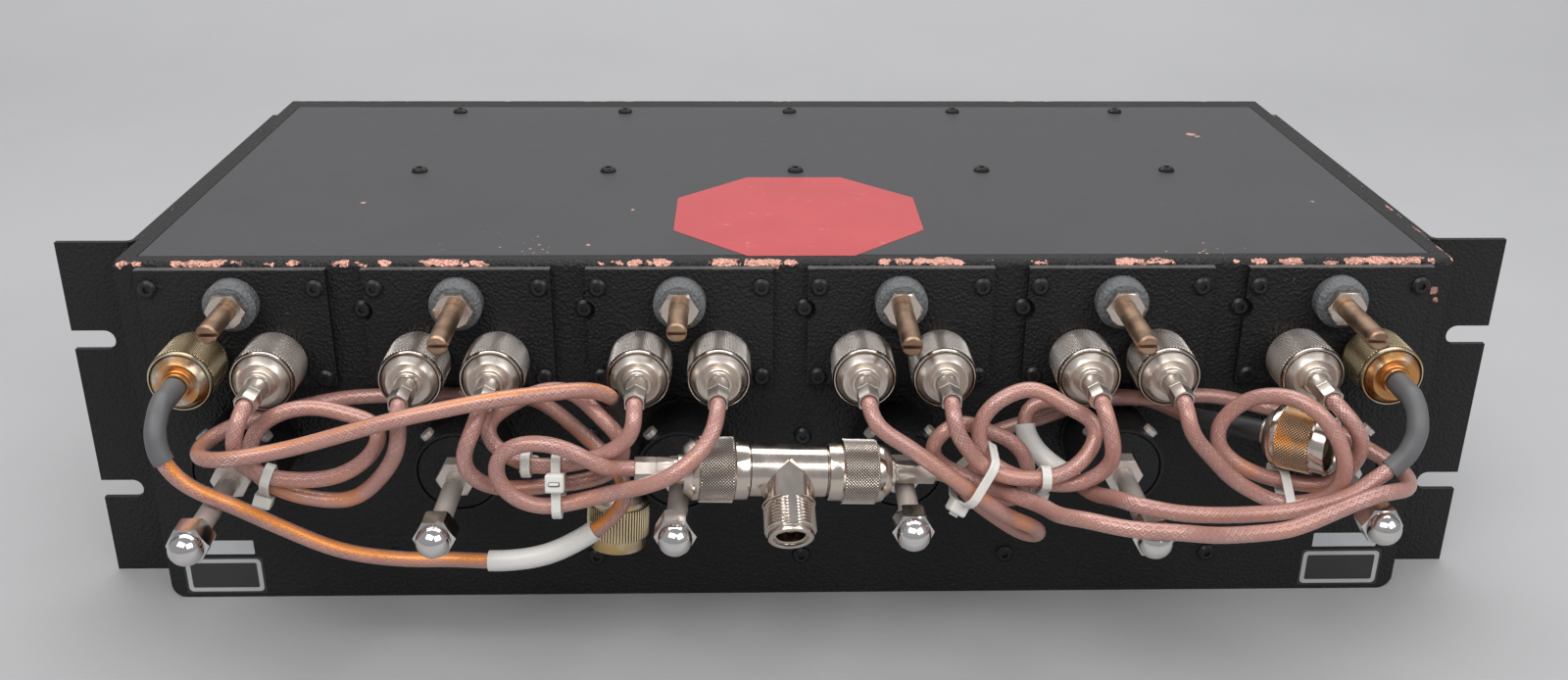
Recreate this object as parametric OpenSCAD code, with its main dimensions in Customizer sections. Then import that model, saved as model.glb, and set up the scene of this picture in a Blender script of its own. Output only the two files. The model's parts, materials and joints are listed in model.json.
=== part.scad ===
// Six cavity rack duplexer: a flat case divided into six cavities, each with a coaxial tuner,
// a loop plate with two threaded jacks and a slotted trimmer, joined by coaxial jumper cables.
// Millimetres. X runs along the front, Y goes into the case, Z is up, and the base is at Z = 0.

/* [Case] */
// Width of the case between its outer sides
case_w = 430; // [400:1:434]
// Depth of the case from the front wall to the back wall
case_d = 204; // [190:1:260]
// Height of the case
case_h = 125; // [115:0.5:140]
// Thickness of the case sheet
wall = 1.6; // [1:0.1:2.4]
// Radius of the folded lower edges
fold_r = 5; // [3:0.5:8]
// Rounding of the top front edge
front_edge_r = 2.2; // [1:0.1:3]
// Width of the side lips beside the cover
side_lip = 5.5; // [4:0.5:9]
// Width of the front lip before the cover
front_lip = 5.5; // [4:0.5:9]
// Width of the back lip behind the cover
back_lip = 10; // [6:0.5:14]
// Thickness of the cover
cover_t = 2; // [1.2:0.1:2.5]
// Gap around the cover
cover_gap = 0.3; // [0.1:0.1:0.6]

/* [Cavities] */
// Distance between neighbouring cavities
cavity_pitch = 71.2; // [69:0.1:71.5]
// Thickness of a divider
divider_t = 1.2; // [0.8:0.1:1.6]
// Width of the folded flanges of a divider
divider_flange = 7.6; // [7:0.2:8]

/* [Rack brackets] */
// Overall width over both rack ears
rack_w = 482.6; // [480:0.2:484]
// Thickness of the bracket sheet
bracket_t = 1.9; // [1.5:0.1:2.5]
// Setback of the ears from the case front
ear_setback = 18.8; // [10:0.2:40]
// Length of the bracket flange on the case side
bracket_len = 161.7; // [120:0.1:170]
// Width of the open ear slots
slot_w = 6.9; // [6:0.1:7.5]
// Length of an ear slot from its round end to the ear's edge
slot_len = 14.2; // [10:0.1:16]
// Height of the lower ear slots
slot_z = 33; // [28:0.5:36]
// Height between the lower and the upper ear slots
slot_spacing = 57.15; // [50:0.05:62]

/* [Loop plates] */
// Width of a loop plate
plate_w = 60; // [58:0.5:62]
// Height of a loop plate
plate_h = 40.8; // [39:0.2:42]
// Thickness of a loop plate
plate_t = 2.5; // [1.6:0.1:3]
// Distance from the case top down to the plate's top edge
plate_drop = 1.7; // [1.4:0.1:2.5]
// Distance between the two jacks of a cavity
jack_spacing = 25.3; // [23.8:0.1:26.6]
// Distance from the case top down to the jack axes
jack_drop = 31; // [30:0.5:32.5]
// Distance from the case top down to the trimmer axes
trimmer_drop = 12.7; // [12:0.1:13.5]

/* [Connectors] */
// Thread diameter of a jack
thread_d = 15.875; // [15:0.025:16]
// Outer diameter of a coupling nut
nut_d = 20.3; // [19.8:0.1:21]
// Length of a coupling nut
nut_len = 17.5; // [16:0.1:18.5]
// Gap between the loop plate and a coupling nut
nut_gap = 3.5; // [2.5:0.1:4]
// Width over the flats of a crimped ferrule
ferrule_af = 6.8; // [6.2:0.1:7.4]
// Visible length of a crimped ferrule
ferrule_len = 13; // [10:0.5:15]

/* [Tuners] */
// Outer diameter of a resonator tube
tube_d = 28.6; // [27:0.1:30]
// Wall of a resonator tube
tube_wall = 0.95; // [0.7:0.05:1.6]
// Length that a resonator tube stands out of the front
boss_out = 23.5; // [20:0.5:24]
// Length of a resonator tube inside the case
tube_in = 128; // [100:1:140]
// Distance from the jack axes down to the tuner axes
tuner_drop = 32.5; // [31.5:0.5:34]
// Diameter of the tuning rods and of the trimmer rods
rod_d = 6.35; // [6:0.05:6.4]
// Width over the flats of the lock nuts and of the acorn nuts
hex_af = 11.1; // [10.8:0.1:11.4]
// Depth of the plunger behind the front wall
plunger_y = 80; // [60:1:90]
// Length of a plunger
plunger_len = 65; // [55:1:75]

/* [Cables] */
// Diameter of a coaxial cable
cable_d = 5; // [4:0.1:5.2]
// Diameter of the shrunk sleeves
shrink_d = 7.2; // [7:0.1:7.4]

/* [Hidden] */
$fn = 48;

cavities = 6;
jack_z = case_h - jack_drop;
trimmer_z = case_h - trimmer_drop;
tuner_z = jack_z - tuner_drop;
// Running clearance between a rod or a nut and what it turns or slides in
run_gap = 0.05;
// How far each tuning rod's dome centre and each trimmer rod's tip stand before the front wall
dome_out = [68.5, 65.3, 65.2, 63.3, 68.4, 61.8];
trimmer_out = [29, 38, 29, 40, 40, 37];
// The outermost dome sets the front end of the box, so the origin lies at the middle of the base
dome_r = 5.2;
reach = max(dome_out) + dome_r;
front_y = -(case_d - reach) / 2;

black = [0.07, 0.07, 0.075];
steel = [0.72, 0.71, 0.69];
nickel = [0.78, 0.75, 0.70];
brass = [0.70, 0.55, 0.32];
copper = [0.72, 0.43, 0.30];
pink = [0.80, 0.60, 0.57];

function cavity_x(i) = (i - (cavities + 1) / 2) * cavity_pitch;
function jack_x(i) = cavity_x(ceil(i / 2)) + (i % 2 == 1 ? -1 : 1) * jack_spacing / 2;

// Fasteners share one button head with a hex socket
screw_d = 3;
head_d = 6;
head_h = 1.5;
socket_af = 2.2;
screw_hole = screw_d + 0.1;
// How far a screw stands out behind what it holds
screw_end = 1.5;
plate_screw_dx = plate_w / 2 - 3.7;
plate_screw_top = 6.3;
plate_screw_low = 3.0;
plate_top = case_h - plate_drop;
plate_low = plate_top - plate_h;
plate_screw_z = [plate_top - plate_screw_top, plate_low + plate_screw_low];
divider_screw_x = divider_flange - 3;
panel_screw_low = 15.5;
panel_screw_top = case_h - 16;
panel_screw_z = [panel_screw_low, (panel_screw_low + panel_screw_top) / 2, panel_screw_top];
cover_screw_y = [98.2, 185.3];
bracket_screw_y = [26, 136];
bracket_screw_z = [22, case_h - 22];

// Everything is drawn with the case front at Y = 0 and then moved to the shared frame
module in_frame() { translate([0, front_y, 0]) children(); }
// For the tee, the free plugs and the cables, whose places are taken from the jack axes
module on_jacks() { translate([0, front_y, jack_z]) children(); }
// Turns a piece drawn along Z so that it points out of the case front
module outward(x, z) { translate([x, 0, z]) rotate([90, 0, 0]) children(); }
module through(d) { translate([0, 0, -8]) cylinder(d = d, h = 16); }
module ring(r_out, r_in, y0, y1) {
    translate([0, 0, y0]) difference() {
        cylinder(r = r_out, h = y1 - y0);
        translate([0, 0, -1]) cylinder(r = r_in, h = y1 - y0 + 2);
    }
}
module hex(af, y0, y1) { translate([0, 0, y0]) cylinder(d = af / cos(30), h = y1 - y0, $fn = 6); }
module button_screw(shank) {
    difference() {
        union() {
            rotate_extrude() polygon([[0, 0], [head_d / 2, 0], [head_d / 2, head_h * 0.45],
                [head_d * 0.36, head_h], [0, head_h]]);
            translate([0, 0, -shank]) cylinder(d = screw_d, h = shank + 0.1);
        }
        translate([0, 0, head_h - 0.9]) cylinder(d = socket_af / cos(30), h = 2, $fn = 6);
    }
}

// Case

// The cross-section of the case: square at the top, folded round at the bottom
module case_section(inset, top) {
    w = case_w - 2 * inset;
    r = max(fold_r - inset, 0.5);
    translate([-w / 2, inset + r]) square([w, top - inset - r]);
    translate([-w / 2 + r, inset]) square([w - 2 * r, r + 0.01]);
    for (s = [-1, 1]) translate([s * (w / 2 - r), inset + r]) circle(r);
}
module case_length(y0, y1) { translate([0, y1, 0]) rotate([90, 0, 0]) linear_extrude(y1 - y0) children(); }

lip_t = wall;
cover_w = case_w - 2 * side_lip - 2 * cover_gap;
cover_y0 = front_lip + cover_gap;
cover_y1 = case_d - back_lip - cover_gap;
cover_z = case_h - cover_t;
ledge = 5;
// The window behind each loop plate leaves room for the two jacks and the trimmer
window_w = plate_w - 15;
window_z0 = plate_low + 1.8;
window_z1 = plate_top - 3.2;

module cavity_housing() {
    in_frame() color(black) difference() {
        case_length(0, case_d) case_section(0, case_h);
        case_length(wall, case_d - wall) case_section(wall, cover_z - lip_t);
        // The opening under the cover, with a ledge along both sides
        translate([-case_w / 2 + side_lip + ledge, front_lip, cover_z - lip_t - 1])
            cube([case_w - 2 * side_lip - 2 * ledge, case_d - front_lip - back_lip, 20]);
        translate([-case_w / 2 + side_lip, front_lip, cover_z])
            cube([case_w - 2 * side_lip, case_d - front_lip - back_lip, 20]);
        // The rounded top front edge
        difference() {
            translate([-case_w / 2 - 1, -1, case_h - front_edge_r]) cube([case_w + 2, front_edge_r + 1, 20]);
            translate([-case_w / 2 - 2, front_edge_r, case_h - front_edge_r])
                rotate([0, 90, 0]) cylinder(r = front_edge_r, h = case_w + 4);
        }
        for (i = [1:cavities]) {
            outward(cavity_x(i), tuner_z) through(tube_d + 2 * run_gap);
            translate([cavity_x(i) - window_w / 2, -1, window_z0])
                cube([window_w, wall + 2, window_z1 - window_z0]);
            for (s = [-1, 1]) for (z = plate_screw_z)
                outward(cavity_x(i) + s * plate_screw_dx, z) through(screw_hole);
        }
        for (i = [1:cavities - 1]) for (z = panel_screw_z)
            outward(divider_x(i) + divider_screw_x, z) through(screw_hole);
        for (s = [-1, 1]) for (y = bracket_screw_y) for (z = bracket_screw_z)
            translate([s * case_w / 2, ear_setback + y, z]) rotate([0, 90, 0]) through(screw_hole);
    }
}

module top_cover() {
    in_frame() color([0.16, 0.16, 0.165]) difference() {
        translate([-cover_w / 2, cover_y0, cover_z]) cube([cover_w, cover_y1 - cover_y0, cover_t]);
        for (i = [1:cavities - 1]) for (y = cover_screw_y)
            translate([divider_x(i) + divider_screw_x, y, cover_z]) through(screw_hole);
    }
}

function divider_x(i) = (cavity_x(i) + cavity_x(i + 1)) / 2;

// One folded divider: a web with four flanges turned to the same side
module divider() {
    y0 = wall;
    y1 = case_d - wall;
    lip_z = cover_z - lip_t;
    difference() {
        union() {
            translate([0, y0, wall]) cube([divider_t, y1 - y0, lip_z - wall - 0.1]);
            translate([0, cover_y0, wall]) cube([divider_t, cover_y1 - cover_y0, cover_z - wall]);
            translate([0, y0, fold_r]) cube([divider_flange, divider_t, lip_z - fold_r - 4]);
            translate([0, y1 - divider_t, fold_r]) cube([divider_flange, divider_t, lip_z - fold_r - 4]);
            translate([0, y0 + 6, wall]) cube([divider_flange, y1 - y0 - 12, divider_t]);
            translate([0, cover_y0 + 3, cover_z - divider_t])
                cube([divider_flange, cover_y1 - cover_y0 - 3, divider_t]);
        }
        for (z = panel_screw_z) outward(divider_screw_x, z) through(screw_hole);
        for (y = cover_screw_y) translate([divider_screw_x, y, cover_z]) through(screw_hole);
    }
}
module cavity_dividers() {
    in_frame() color(copper) for (i = [1:cavities - 1]) translate([divider_x(i), 0, 0]) divider();
}

// The folded bracket: a flange on the case side, a round bend and an ear with two open slots
bend_in = 2.1;
module bracket_section() {
    bend_out = bend_in + bracket_t;
    translate([0, ear_setback + bend_out]) square([bracket_t, bracket_len - bend_out]);
    translate([bend_out, ear_setback]) square([(rack_w - case_w) / 2 - bend_out, bracket_t]);
    translate([bend_out, ear_setback + bend_out]) difference() {
        circle(bend_out);
        circle(bend_in);
        translate([0, -bend_out - 1]) square([bend_out + 1, 2 * bend_out + 2]);
        translate([-bend_out - 1, 0]) square([2 * bend_out + 2, bend_out + 1]);
    }
}
module rack_bracket() {
    difference() {
        translate([case_w / 2, 0, 0]) linear_extrude(case_h) bracket_section();
        for (z = [slot_z, slot_z + slot_spacing]) translate([rack_w / 2 - slot_len + slot_w / 2, 0, z]) {
            translate([0, ear_setback - 1, 0]) rotate([-90, 0, 0]) cylinder(d = slot_w, h = bracket_t + 2);
            translate([0, ear_setback - 1, -slot_w / 2]) cube([slot_len + 5, bracket_t + 2, slot_w]);
        }
        for (y = bracket_screw_y) for (z = bracket_screw_z)
            translate([case_w / 2, ear_setback + y, z]) rotate([0, 90, 0]) through(screw_hole);
    }
}
module right_rack_bracket() { in_frame() color(black) rack_bracket(); }
module left_rack_bracket() { in_frame() color(black) mirror([1, 0, 0]) rack_bracket(); }
module bracket_screws() {
    in_frame() color(steel) for (s = [0, 1]) mirror([s, 0, 0])
        for (y = bracket_screw_y) for (z = bracket_screw_z)
            translate([case_w / 2 + bracket_t, ear_setback + y, z]) rotate([0, 90, 0])
                button_screw(bracket_t + wall + screw_end);
}

module loop_plates() {
    in_frame() color(black) for (i = [1:cavities]) difference() {
        translate([cavity_x(i) - plate_w / 2, -plate_t, plate_low]) cube([plate_w, plate_t, plate_h]);
        for (s = [-1, 1]) {
            outward(cavity_x(i) + s * jack_spacing / 2, jack_z) through(2 * (shank_r + run_gap));
            for (z = plate_screw_z)
                outward(cavity_x(i) + s * plate_screw_dx, z) through(screw_hole);
        }
        outward(cavity_x(i), trimmer_z) through(2 * (bush_shank_r + run_gap));
        // A notch in the plate's edge for the head of the panel screw beside it
        for (j = [1:cavities - 1]) for (z = panel_screw_z)
            outward(divider_x(j) + divider_screw_x, z) through(head_d + 1.4);
    }
}
module plate_screws() {
    in_frame() color(black) for (i = [1:cavities]) for (s = [-1, 1]) for (z = plate_screw_z)
        outward(cavity_x(i) + s * plate_screw_dx, z) translate([0, 0, plate_t])
            button_screw(plate_t + wall + screw_end);
}
module panel_screws() {
    in_frame() color(black) for (i = [1:cavities - 1]) for (z = panel_screw_z)
        outward(divider_x(i) + divider_screw_x, z) button_screw(wall + divider_t + screw_end);
}
module cover_screws() {
    in_frame() color(black) for (i = [1:cavities - 1]) for (y = cover_screw_y)
        translate([divider_x(i) + divider_screw_x, y, case_h]) button_screw(cover_t + divider_t + screw_end);
}

// Trimmers

bush_r = 8.4;
bush_out = 5.9;
bush_shank_r = 5;
trim_nut_t = 3.1;
trimmer_len = 62;
trimmer_plate_r = 7;
module trimmer_bush() {
    difference() {
        rotate_extrude() polygon([[0, plate_t], [bush_r, plate_t], [bush_r, plate_t + bush_out - 1.6],
            [bush_r - 1.4, plate_t + bush_out - 0.3], [6.5, plate_t + bush_out - 0.3],
            [6.5, plate_t + bush_out], [0, plate_t + bush_out]]);
        translate([0, 0, -20]) cylinder(d = rod_d + 2 * run_gap, h = 60);
    }
    ring(bush_shank_r, rod_d / 2 + run_gap, -3, plate_t);
}
module trimmer_bushes() {
    in_frame() color([0.45, 0.46, 0.47])
        for (i = [1:cavities]) outward(cavity_x(i), trimmer_z) trimmer_bush();
}
module trimmer_locknuts() {
    y0 = plate_t + bush_out;
    in_frame() color(nickel) for (i = [1:cavities]) outward(cavity_x(i), trimmer_z) difference() {
        intersection() {
            hex(hex_af, y0, y0 + trim_nut_t);
            rotate_extrude() polygon([[0, y0], [hex_af * 0.6, y0], [hex_af * 0.6, y0 + trim_nut_t - 0.6],
                [hex_af * 0.49, y0 + trim_nut_t], [0, y0 + trim_nut_t]]);
        }
        translate([0, 0, y0 - 1]) cylinder(d = rod_d + 2 * run_gap, h = trim_nut_t + 2);
    }
}
// A slotted rod with a plate at its inner end
module trimmer_rod(i) {
    tip = trimmer_out[i - 1];
    inner = tip - trimmer_len;
    in_frame() color(brass) outward(cavity_x(i), trimmer_z) difference() {
        rotate_extrude() polygon([[0, inner], [trimmer_plate_r, inner], [trimmer_plate_r, inner + 1.6],
            [rod_d / 2, inner + 1.6], [rod_d / 2, tip - 0.6], [rod_d / 2 - 0.6, tip], [0, tip]]);
        translate([-rod_d, -0.6, tip - 1.8]) cube([2 * rod_d, 1.2, 3]);
    }
}
module trimmer_rod_1() { trimmer_rod(1); }
module trimmer_rod_2() { trimmer_rod(2); }
module trimmer_rod_3() { trimmer_rod(3); }
module trimmer_rod_4() { trimmer_rod(4); }
module trimmer_rod_5() { trimmer_rod(5); }
module trimmer_rod_6() { trimmer_rod(6); }

// Tuners

tube_r = tube_d / 2;
tube_bore = tube_r - tube_wall;
plug_len = 12;
plug_sunk = 0.3;
boss_screw_angle = 40;
boss_screw_y = boss_out - 4.5;
lock_t = 5.3;
collar_len = 14;
plunger_r = tube_bore - 0.7;
plunger_wall = 0.9;
plunger_end = 4;
// Turns the two small clamp screws of a boss to its upper left and upper right
module at_boss_screws() {
    for (a = [-boss_screw_angle, boss_screw_angle]) translate([0, 0, boss_screw_y]) rotate([0, 0, a])
        rotate([-90, 0, 0]) children();
}
module resonator_tubes() {
    in_frame() color(black) for (i = [1:cavities]) outward(cavity_x(i), tuner_z) difference() {
        union() {
            ring(tube_r, tube_bore, -tube_in, boss_out);
            ring(tube_r + 1, tube_bore + 0.3, 0, 1.2);
            ring(tube_r + 3, tube_bore + 0.3, -wall - 1.2, -wall);
        }
        at_boss_screws() cylinder(d = screw_hole, h = tube_r + 5);
    }
}
// A collar of spring fingers between the plunger and the open end of its tube
module contact_collars() {
    in_frame() color(copper) for (i = [1:cavities]) outward(cavity_x(i), tuner_z) difference() {
        ring(tube_bore - run_gap, plunger_r + run_gap, -tube_in, -tube_in + collar_len);
        for (a = [0:45:135]) rotate([0, 0, a]) translate([-tube_r, -0.5, -tube_in - 1])
            cube([tube_d, 1, collar_len - 3]);
    }
}
module boss_plugs() {
    top = boss_out - plug_sunk;
    in_frame() color(black) for (i = [1:cavities]) outward(cavity_x(i), tuner_z) difference() {
        rotate_extrude() polygon([[rod_d / 2 + run_gap, top - plug_len],
            [tube_bore - run_gap, top - plug_len], [tube_bore - run_gap, top - 0.7],
            [tube_bore - 0.6, top], [rod_d / 2 + run_gap, top]]);
        at_boss_screws() cylinder(d = screw_hole, h = tube_r + 5);
    }
}
module boss_screws() {
    in_frame() color(steel) for (i = [1:cavities]) outward(cavity_x(i), tuner_z) at_boss_screws() {
        translate([0, 0, tube_bore - 5]) cylinder(d = screw_d, h = 5.5 + tube_wall);
        translate([0, 0, tube_r + 0.05]) difference() {
            cylinder(d = 4.6, h = 1.8);
            translate([-3, -0.4, 0.9]) cube([6, 0.8, 2]);
        }
    }
}
module tuning_locknuts() {
    y0 = boss_out - plug_sunk;
    in_frame() color(steel) for (i = [1:cavities]) outward(cavity_x(i), tuner_z) difference() {
        intersection() {
            hex(hex_af, y0, y0 + lock_t);
            rotate_extrude() polygon([[0, y0], [hex_af * 0.6, y0], [hex_af * 0.6, y0 + lock_t - 0.6],
                [hex_af * 0.49, y0 + lock_t], [0, y0 + lock_t]]);
        }
        translate([0, 0, y0 - 1]) cylinder(d = rod_d + 2 * run_gap, h = lock_t + 2);
    }
}
acorn_h = 8;
// A rod that carries the hollow plunger on its inner end
module tuning_rod(i) {
    r = rod_d / 2;
    y_end = -plunger_y - plunger_len;
    skin_r = plunger_r - plunger_wall;
    in_frame() color(steel) outward(cavity_x(i), tuner_z) rotate_extrude() polygon([
        [0, -plunger_y - plunger_end], [skin_r, -plunger_y - plunger_end], [skin_r, y_end],
        [plunger_r, y_end], [plunger_r, -plunger_y], [r + 3, -plunger_y], [r + 3, -plunger_y + 6],
        [r, -plunger_y + 6], [r, dome_out[i - 1] - 1], [0, dome_out[i - 1] - 1]]);
}
module tuning_rod_1() { tuning_rod(1); }
module tuning_rod_2() { tuning_rod(2); }
module tuning_rod_3() { tuning_rod(3); }
module tuning_rod_4() { tuning_rod(4); }
module tuning_rod_5() { tuning_rod(5); }
module tuning_rod_6() { tuning_rod(6); }
module acorn_nut(i) {
    y0 = dome_out[i - 1] - acorn_h;
    y1 = dome_out[i - 1] - 0.6;
    in_frame() color(nickel) outward(cavity_x(i), tuner_z) difference() {
        union() {
            intersection() {
                hex(hex_af, y0, y1);
                rotate_extrude() polygon([[0, y0], [hex_af * 0.54, y0], [hex_af * 0.6, y0 + 0.6],
                    [hex_af * 0.6, y1 - 0.8], [hex_af * 0.48, y1], [0, y1]]);
            }
            translate([0, 0, y1 - 1]) cylinder(r = dome_r, h = 1.6);
            translate([0, 0, y1 + 0.6]) difference() {
                sphere(dome_r);
                translate([-10, -10, -20]) cube([20, 20, 20]);
            }
        }
        translate([0, 0, y0 - 1]) cylinder(d = rod_d + 2 * run_gap, h = acorn_h + 0.05);
    }
}
module acorn_nut_1() { acorn_nut(1); }
module acorn_nut_2() { acorn_nut(2); }
module acorn_nut_3() { acorn_nut(3); }
module acorn_nut_4() { acorn_nut(4); }
module acorn_nut_5() { acorn_nut(5); }
module acorn_nut_6() { acorn_nut(6); }

// Connectors, drawn along Z from the front wall outward

shank_r = 6.3;
jack_bore = 4.2;
contact_r = 1.5;
nut_y0 = plate_t + nut_gap;
nut_y1 = nut_y0 + nut_len;
barrel_y1 = nut_y0 + 7.2;
seat_y = nut_y0 + 8;
nut_bore = nut_d / 2 - 0.9;
body_r = nut_bore - run_gap;
rear_y = nut_y1 + 2.5;
collar_y = rear_y + 1.5;
ferrule_y = collar_y + ferrule_len;
collar_r = 3.95;
pin_r = 0.9;
finger_t = 0.65;
module jack() {
    ring(thread_d / 2, jack_bore, plate_t, barrel_y1);
    ring(thread_d / 2 + 0.8, jack_bore, plate_t, plate_t + 1.7);
    ring(shank_r, jack_bore, -7, plate_t);
}
module at_jacks() { for (i = [1:2 * cavities]) outward(jack_x(i), jack_z) children(); }
module panel_jacks() { in_frame() color(nickel) at_jacks() jack(); }
module jack_contact(y0) {
    rotate_extrude() polygon([[0, y0], [contact_r, y0], [contact_r, -5], [jack_bore - run_gap, -5],
        [jack_bore - run_gap, nut_y0], [contact_r, nut_y0], [contact_r, nut_y0 + 2], [0, nut_y0 + 2]]);
}
module jack_contacts() { in_frame() color(brass) at_jacks() jack_contact(-12); }
module jack_nuts() {
    in_frame() color(steel) at_jacks() difference() {
        hex(16, -wall - 3, -0.1);
        translate([0, 0, -20]) cylinder(r = shank_r + run_gap, h = 30);
    }
}
// The wire loop that couples the two jacks of a cavity to its tuner
module coupling_loops() {
    in_frame() color(copper) for (i = [1:cavities]) translate([cavity_x(i), 12 + run_gap, jack_z]) {
        rotate_extrude(angle = 180) translate([jack_spacing / 2, 0]) circle(r = 1.4);
    }
}
module coupling_nut() {
    r = nut_d / 2;
    thread_r = thread_d / 2 + run_gap;
    rotate_extrude() polygon([[thread_r, nut_y0], [r - 0.9, nut_y0], [r - 0.4, nut_y0 + 0.5],
        [r - 0.4, nut_y0 + 2], [r, nut_y0 + 2.4], [r, nut_y1 - 2], [r - 0.3, nut_y1 - 1.6],
        [r - 0.3, nut_y1 - 0.4], [r - 0.6, nut_y1], [nut_bore, nut_y1], [nut_bore, seat_y],
        [thread_r, seat_y]]);
}
module plug_body() {
    seat = seat_y + 0.3;
    finger_y = nut_y0 + 2.2;
    finger_r = jack_bore - 0.15;
    rotate_extrude() polygon([[0, finger_y], [pin_r, finger_y], [pin_r, seat], [finger_r - finger_t, seat],
        [finger_r - finger_t, finger_y], [finger_r, finger_y], [finger_r, seat], [body_r, seat],
        [body_r, nut_y1 - 0.2], [body_r - 2.9, rear_y], [collar_r + 0.5, rear_y - 0.2],
        [collar_r, rear_y - 0.2], [collar_r, collar_y], [0, collar_y]]);
}
module hex_ferrule() {
    difference() {
        hex(ferrule_af, collar_y, ferrule_y);
        translate([0, 0, ferrule_y - 8]) cylinder(d = cable_d + 0.2, h = 20);
    }
}
round_ferrule_d = 5.9;
round_ferrule_len = 8.5;
module round_ferrule() { translate([0, 0, collar_y]) cylinder(d = round_ferrule_d, h = round_ferrule_len); }

// The tee between the middle jumpers lies on two tuning rods, slightly turned
tee_pos = [-2, -41.5, -22.5];
tee_turn = [0, 4.4, 5.8];
tee_half = 12.3;
port_angle = 33;
port_len = 23.5;
port_rim = 1.8;
port_thread = 9.2;
port_shoulder = port_len - port_rim - port_thread;
port_neck_r = 7.2;
tee_r = 8.3;
port_r = 8;
// Distance of the port's two wrench flats from its axis
port_flat = 7.3;
module in_tee() { translate(tee_pos) rotate(tee_turn) children(); }
// Puts a connector's Z axis along a tee arm so that its nut meets the tee's shoulder
module tee_arm(s) { rotate([0, s * 90, 0]) translate([0, 0, tee_half - nut_y0]) children(); }
module in_port() { rotate([90 + port_angle, 0, 0]) children(); }
module tee_body() {
    on_jacks() color(nickel) in_tee() difference() {
        union() {
            rotate([0, 90, 0]) cylinder(r = tee_r, h = 2 * tee_half - 0.6, center = true);
            for (s = [-1, 1]) tee_arm(s) translate([0, 0, nut_y0 - 6])
                cylinder(d = thread_d, h = barrel_y1 - nut_y0 + 6);
            in_port() cylinder(r = port_neck_r, h = port_len - 2);
            in_port() cylinder(r = port_r, h = port_shoulder - 0.8);
            in_port() translate([0, 0, port_shoulder]) cylinder(d = thread_d, h = port_thread);
            in_port() cylinder(d = 13.8, h = port_len);
        }
        in_port() for (y = [-port_flat - 5, port_flat]) translate([-tee_r, y, 4.5])
            cube([2 * tee_r, 5, port_shoulder - 5]);
        for (s = [-1, 1]) tee_arm(s) translate([0, 0, nut_y0 - 0.5]) cylinder(r = jack_bore, h = 30);
        in_port() translate([0, 0, port_len - 9]) cylinder(r = 4.4, h = 20);
    }
}
module tee_contacts() {
    on_jacks() color(brass) in_tee() {
        for (s = [-1, 1]) tee_arm(s) translate([0, 0, nut_y0 - 0.5]) cylinder(r = 1.5, h = 2.5);
        in_port() translate([0, 0, port_len - 9]) difference() {
            cylinder(r = contact_r, h = 6);
            translate([0, 0, 2]) cylinder(r = pin_r, h = 6);
        }
    }
}

// The two free plugs at the ends of the pigtails: position of the mating end, then the turn
tx_plug_pos = [-57, -22, -60];
tx_plug_turn = [-6, 3, 0];
rx_plug_pos = [166.5, -42.8, -14.5];
rx_plug_turn = [0, -94, -38];
module at_tx_plug() { translate(tx_plug_pos) rotate(tx_plug_turn) translate([0, 0, -nut_y0]) children(); }
module at_rx_plug() { translate(rx_plug_pos) rotate(rx_plug_turn) translate([0, 0, -nut_y0]) children(); }

module coupling_nuts() {
    in_frame() color(nickel) at_jacks() coupling_nut();
    on_jacks() color(nickel) in_tee() for (s = [-1, 1]) tee_arm(s) coupling_nut();
}
module plug_bodies() {
    in_frame() color(nickel) at_jacks() plug_body();
    on_jacks() color(nickel) in_tee() for (s = [-1, 1]) tee_arm(s) plug_body();
}
module crimp_ferrules() {
    in_frame() color(nickel) {
        for (i = [2:2 * cavities - 1]) outward(jack_x(i), jack_z) hex_ferrule();
        for (i = [1, 2 * cavities]) outward(jack_x(i), jack_z) round_ferrule();
    }
    on_jacks() color(nickel) in_tee() for (s = [-1, 1]) tee_arm(s) hex_ferrule();
}
module free_plug() { plug_body(); round_ferrule(); }
module tx_free_plug() { on_jacks() color(nickel) at_tx_plug() free_plug(); }
module tx_free_nut() { on_jacks() color(brass) at_tx_plug() coupling_nut(); }
module rx_free_plug() { on_jacks() color(nickel) at_rx_plug() free_plug(); }
module rx_free_nut() { on_jacks() color(brass) at_rx_plug() coupling_nut(); }

// Cables

// A smooth line through the points of a route, with n steps between two points
function blend(a, b, c, d, t) =
    0.5 * (2 * b + (c - a) * t + (2 * a - 5 * b + 4 * c - d) * t * t + (3 * b - a - 3 * c + d) * t * t * t);
function smooth(p, n) = let (m = len(p), before = 2 * p[0] - p[1], after = 2 * p[m - 1] - p[m - 2])
    concat([for (i = [0:m - 2]) for (k = [0:n - 1])
        blend(i == 0 ? before : p[i - 1], p[i], p[i + 1], i == m - 2 ? after : p[i + 2], k / n)], [p[m - 1]]);
function unit(v) = v / norm(v);
function along(c, i) = unit(c[min(i + 1, len(c) - 1)] - c[max(i - 1, 0)]);
function square_to(n, t) = unit(n - (n * t) * t);
function sides_of(c, i = 0, n = [0.31, 0.22, 0.92]) =
    i >= len(c) ? [] : let (m = square_to(n, along(c, i))) concat([m], sides_of(c, i + 1, m));
function circle_at(c, m, i, r, n) =
    [for (k = [0:n - 1]) c[i] + r * (cos(360 * k / n) * m[i] + sin(360 * k / n) * cross(along(c, i), m[i]))];
function part_of(c, a, b) = [for (i = [a:b]) c[i]];

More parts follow.
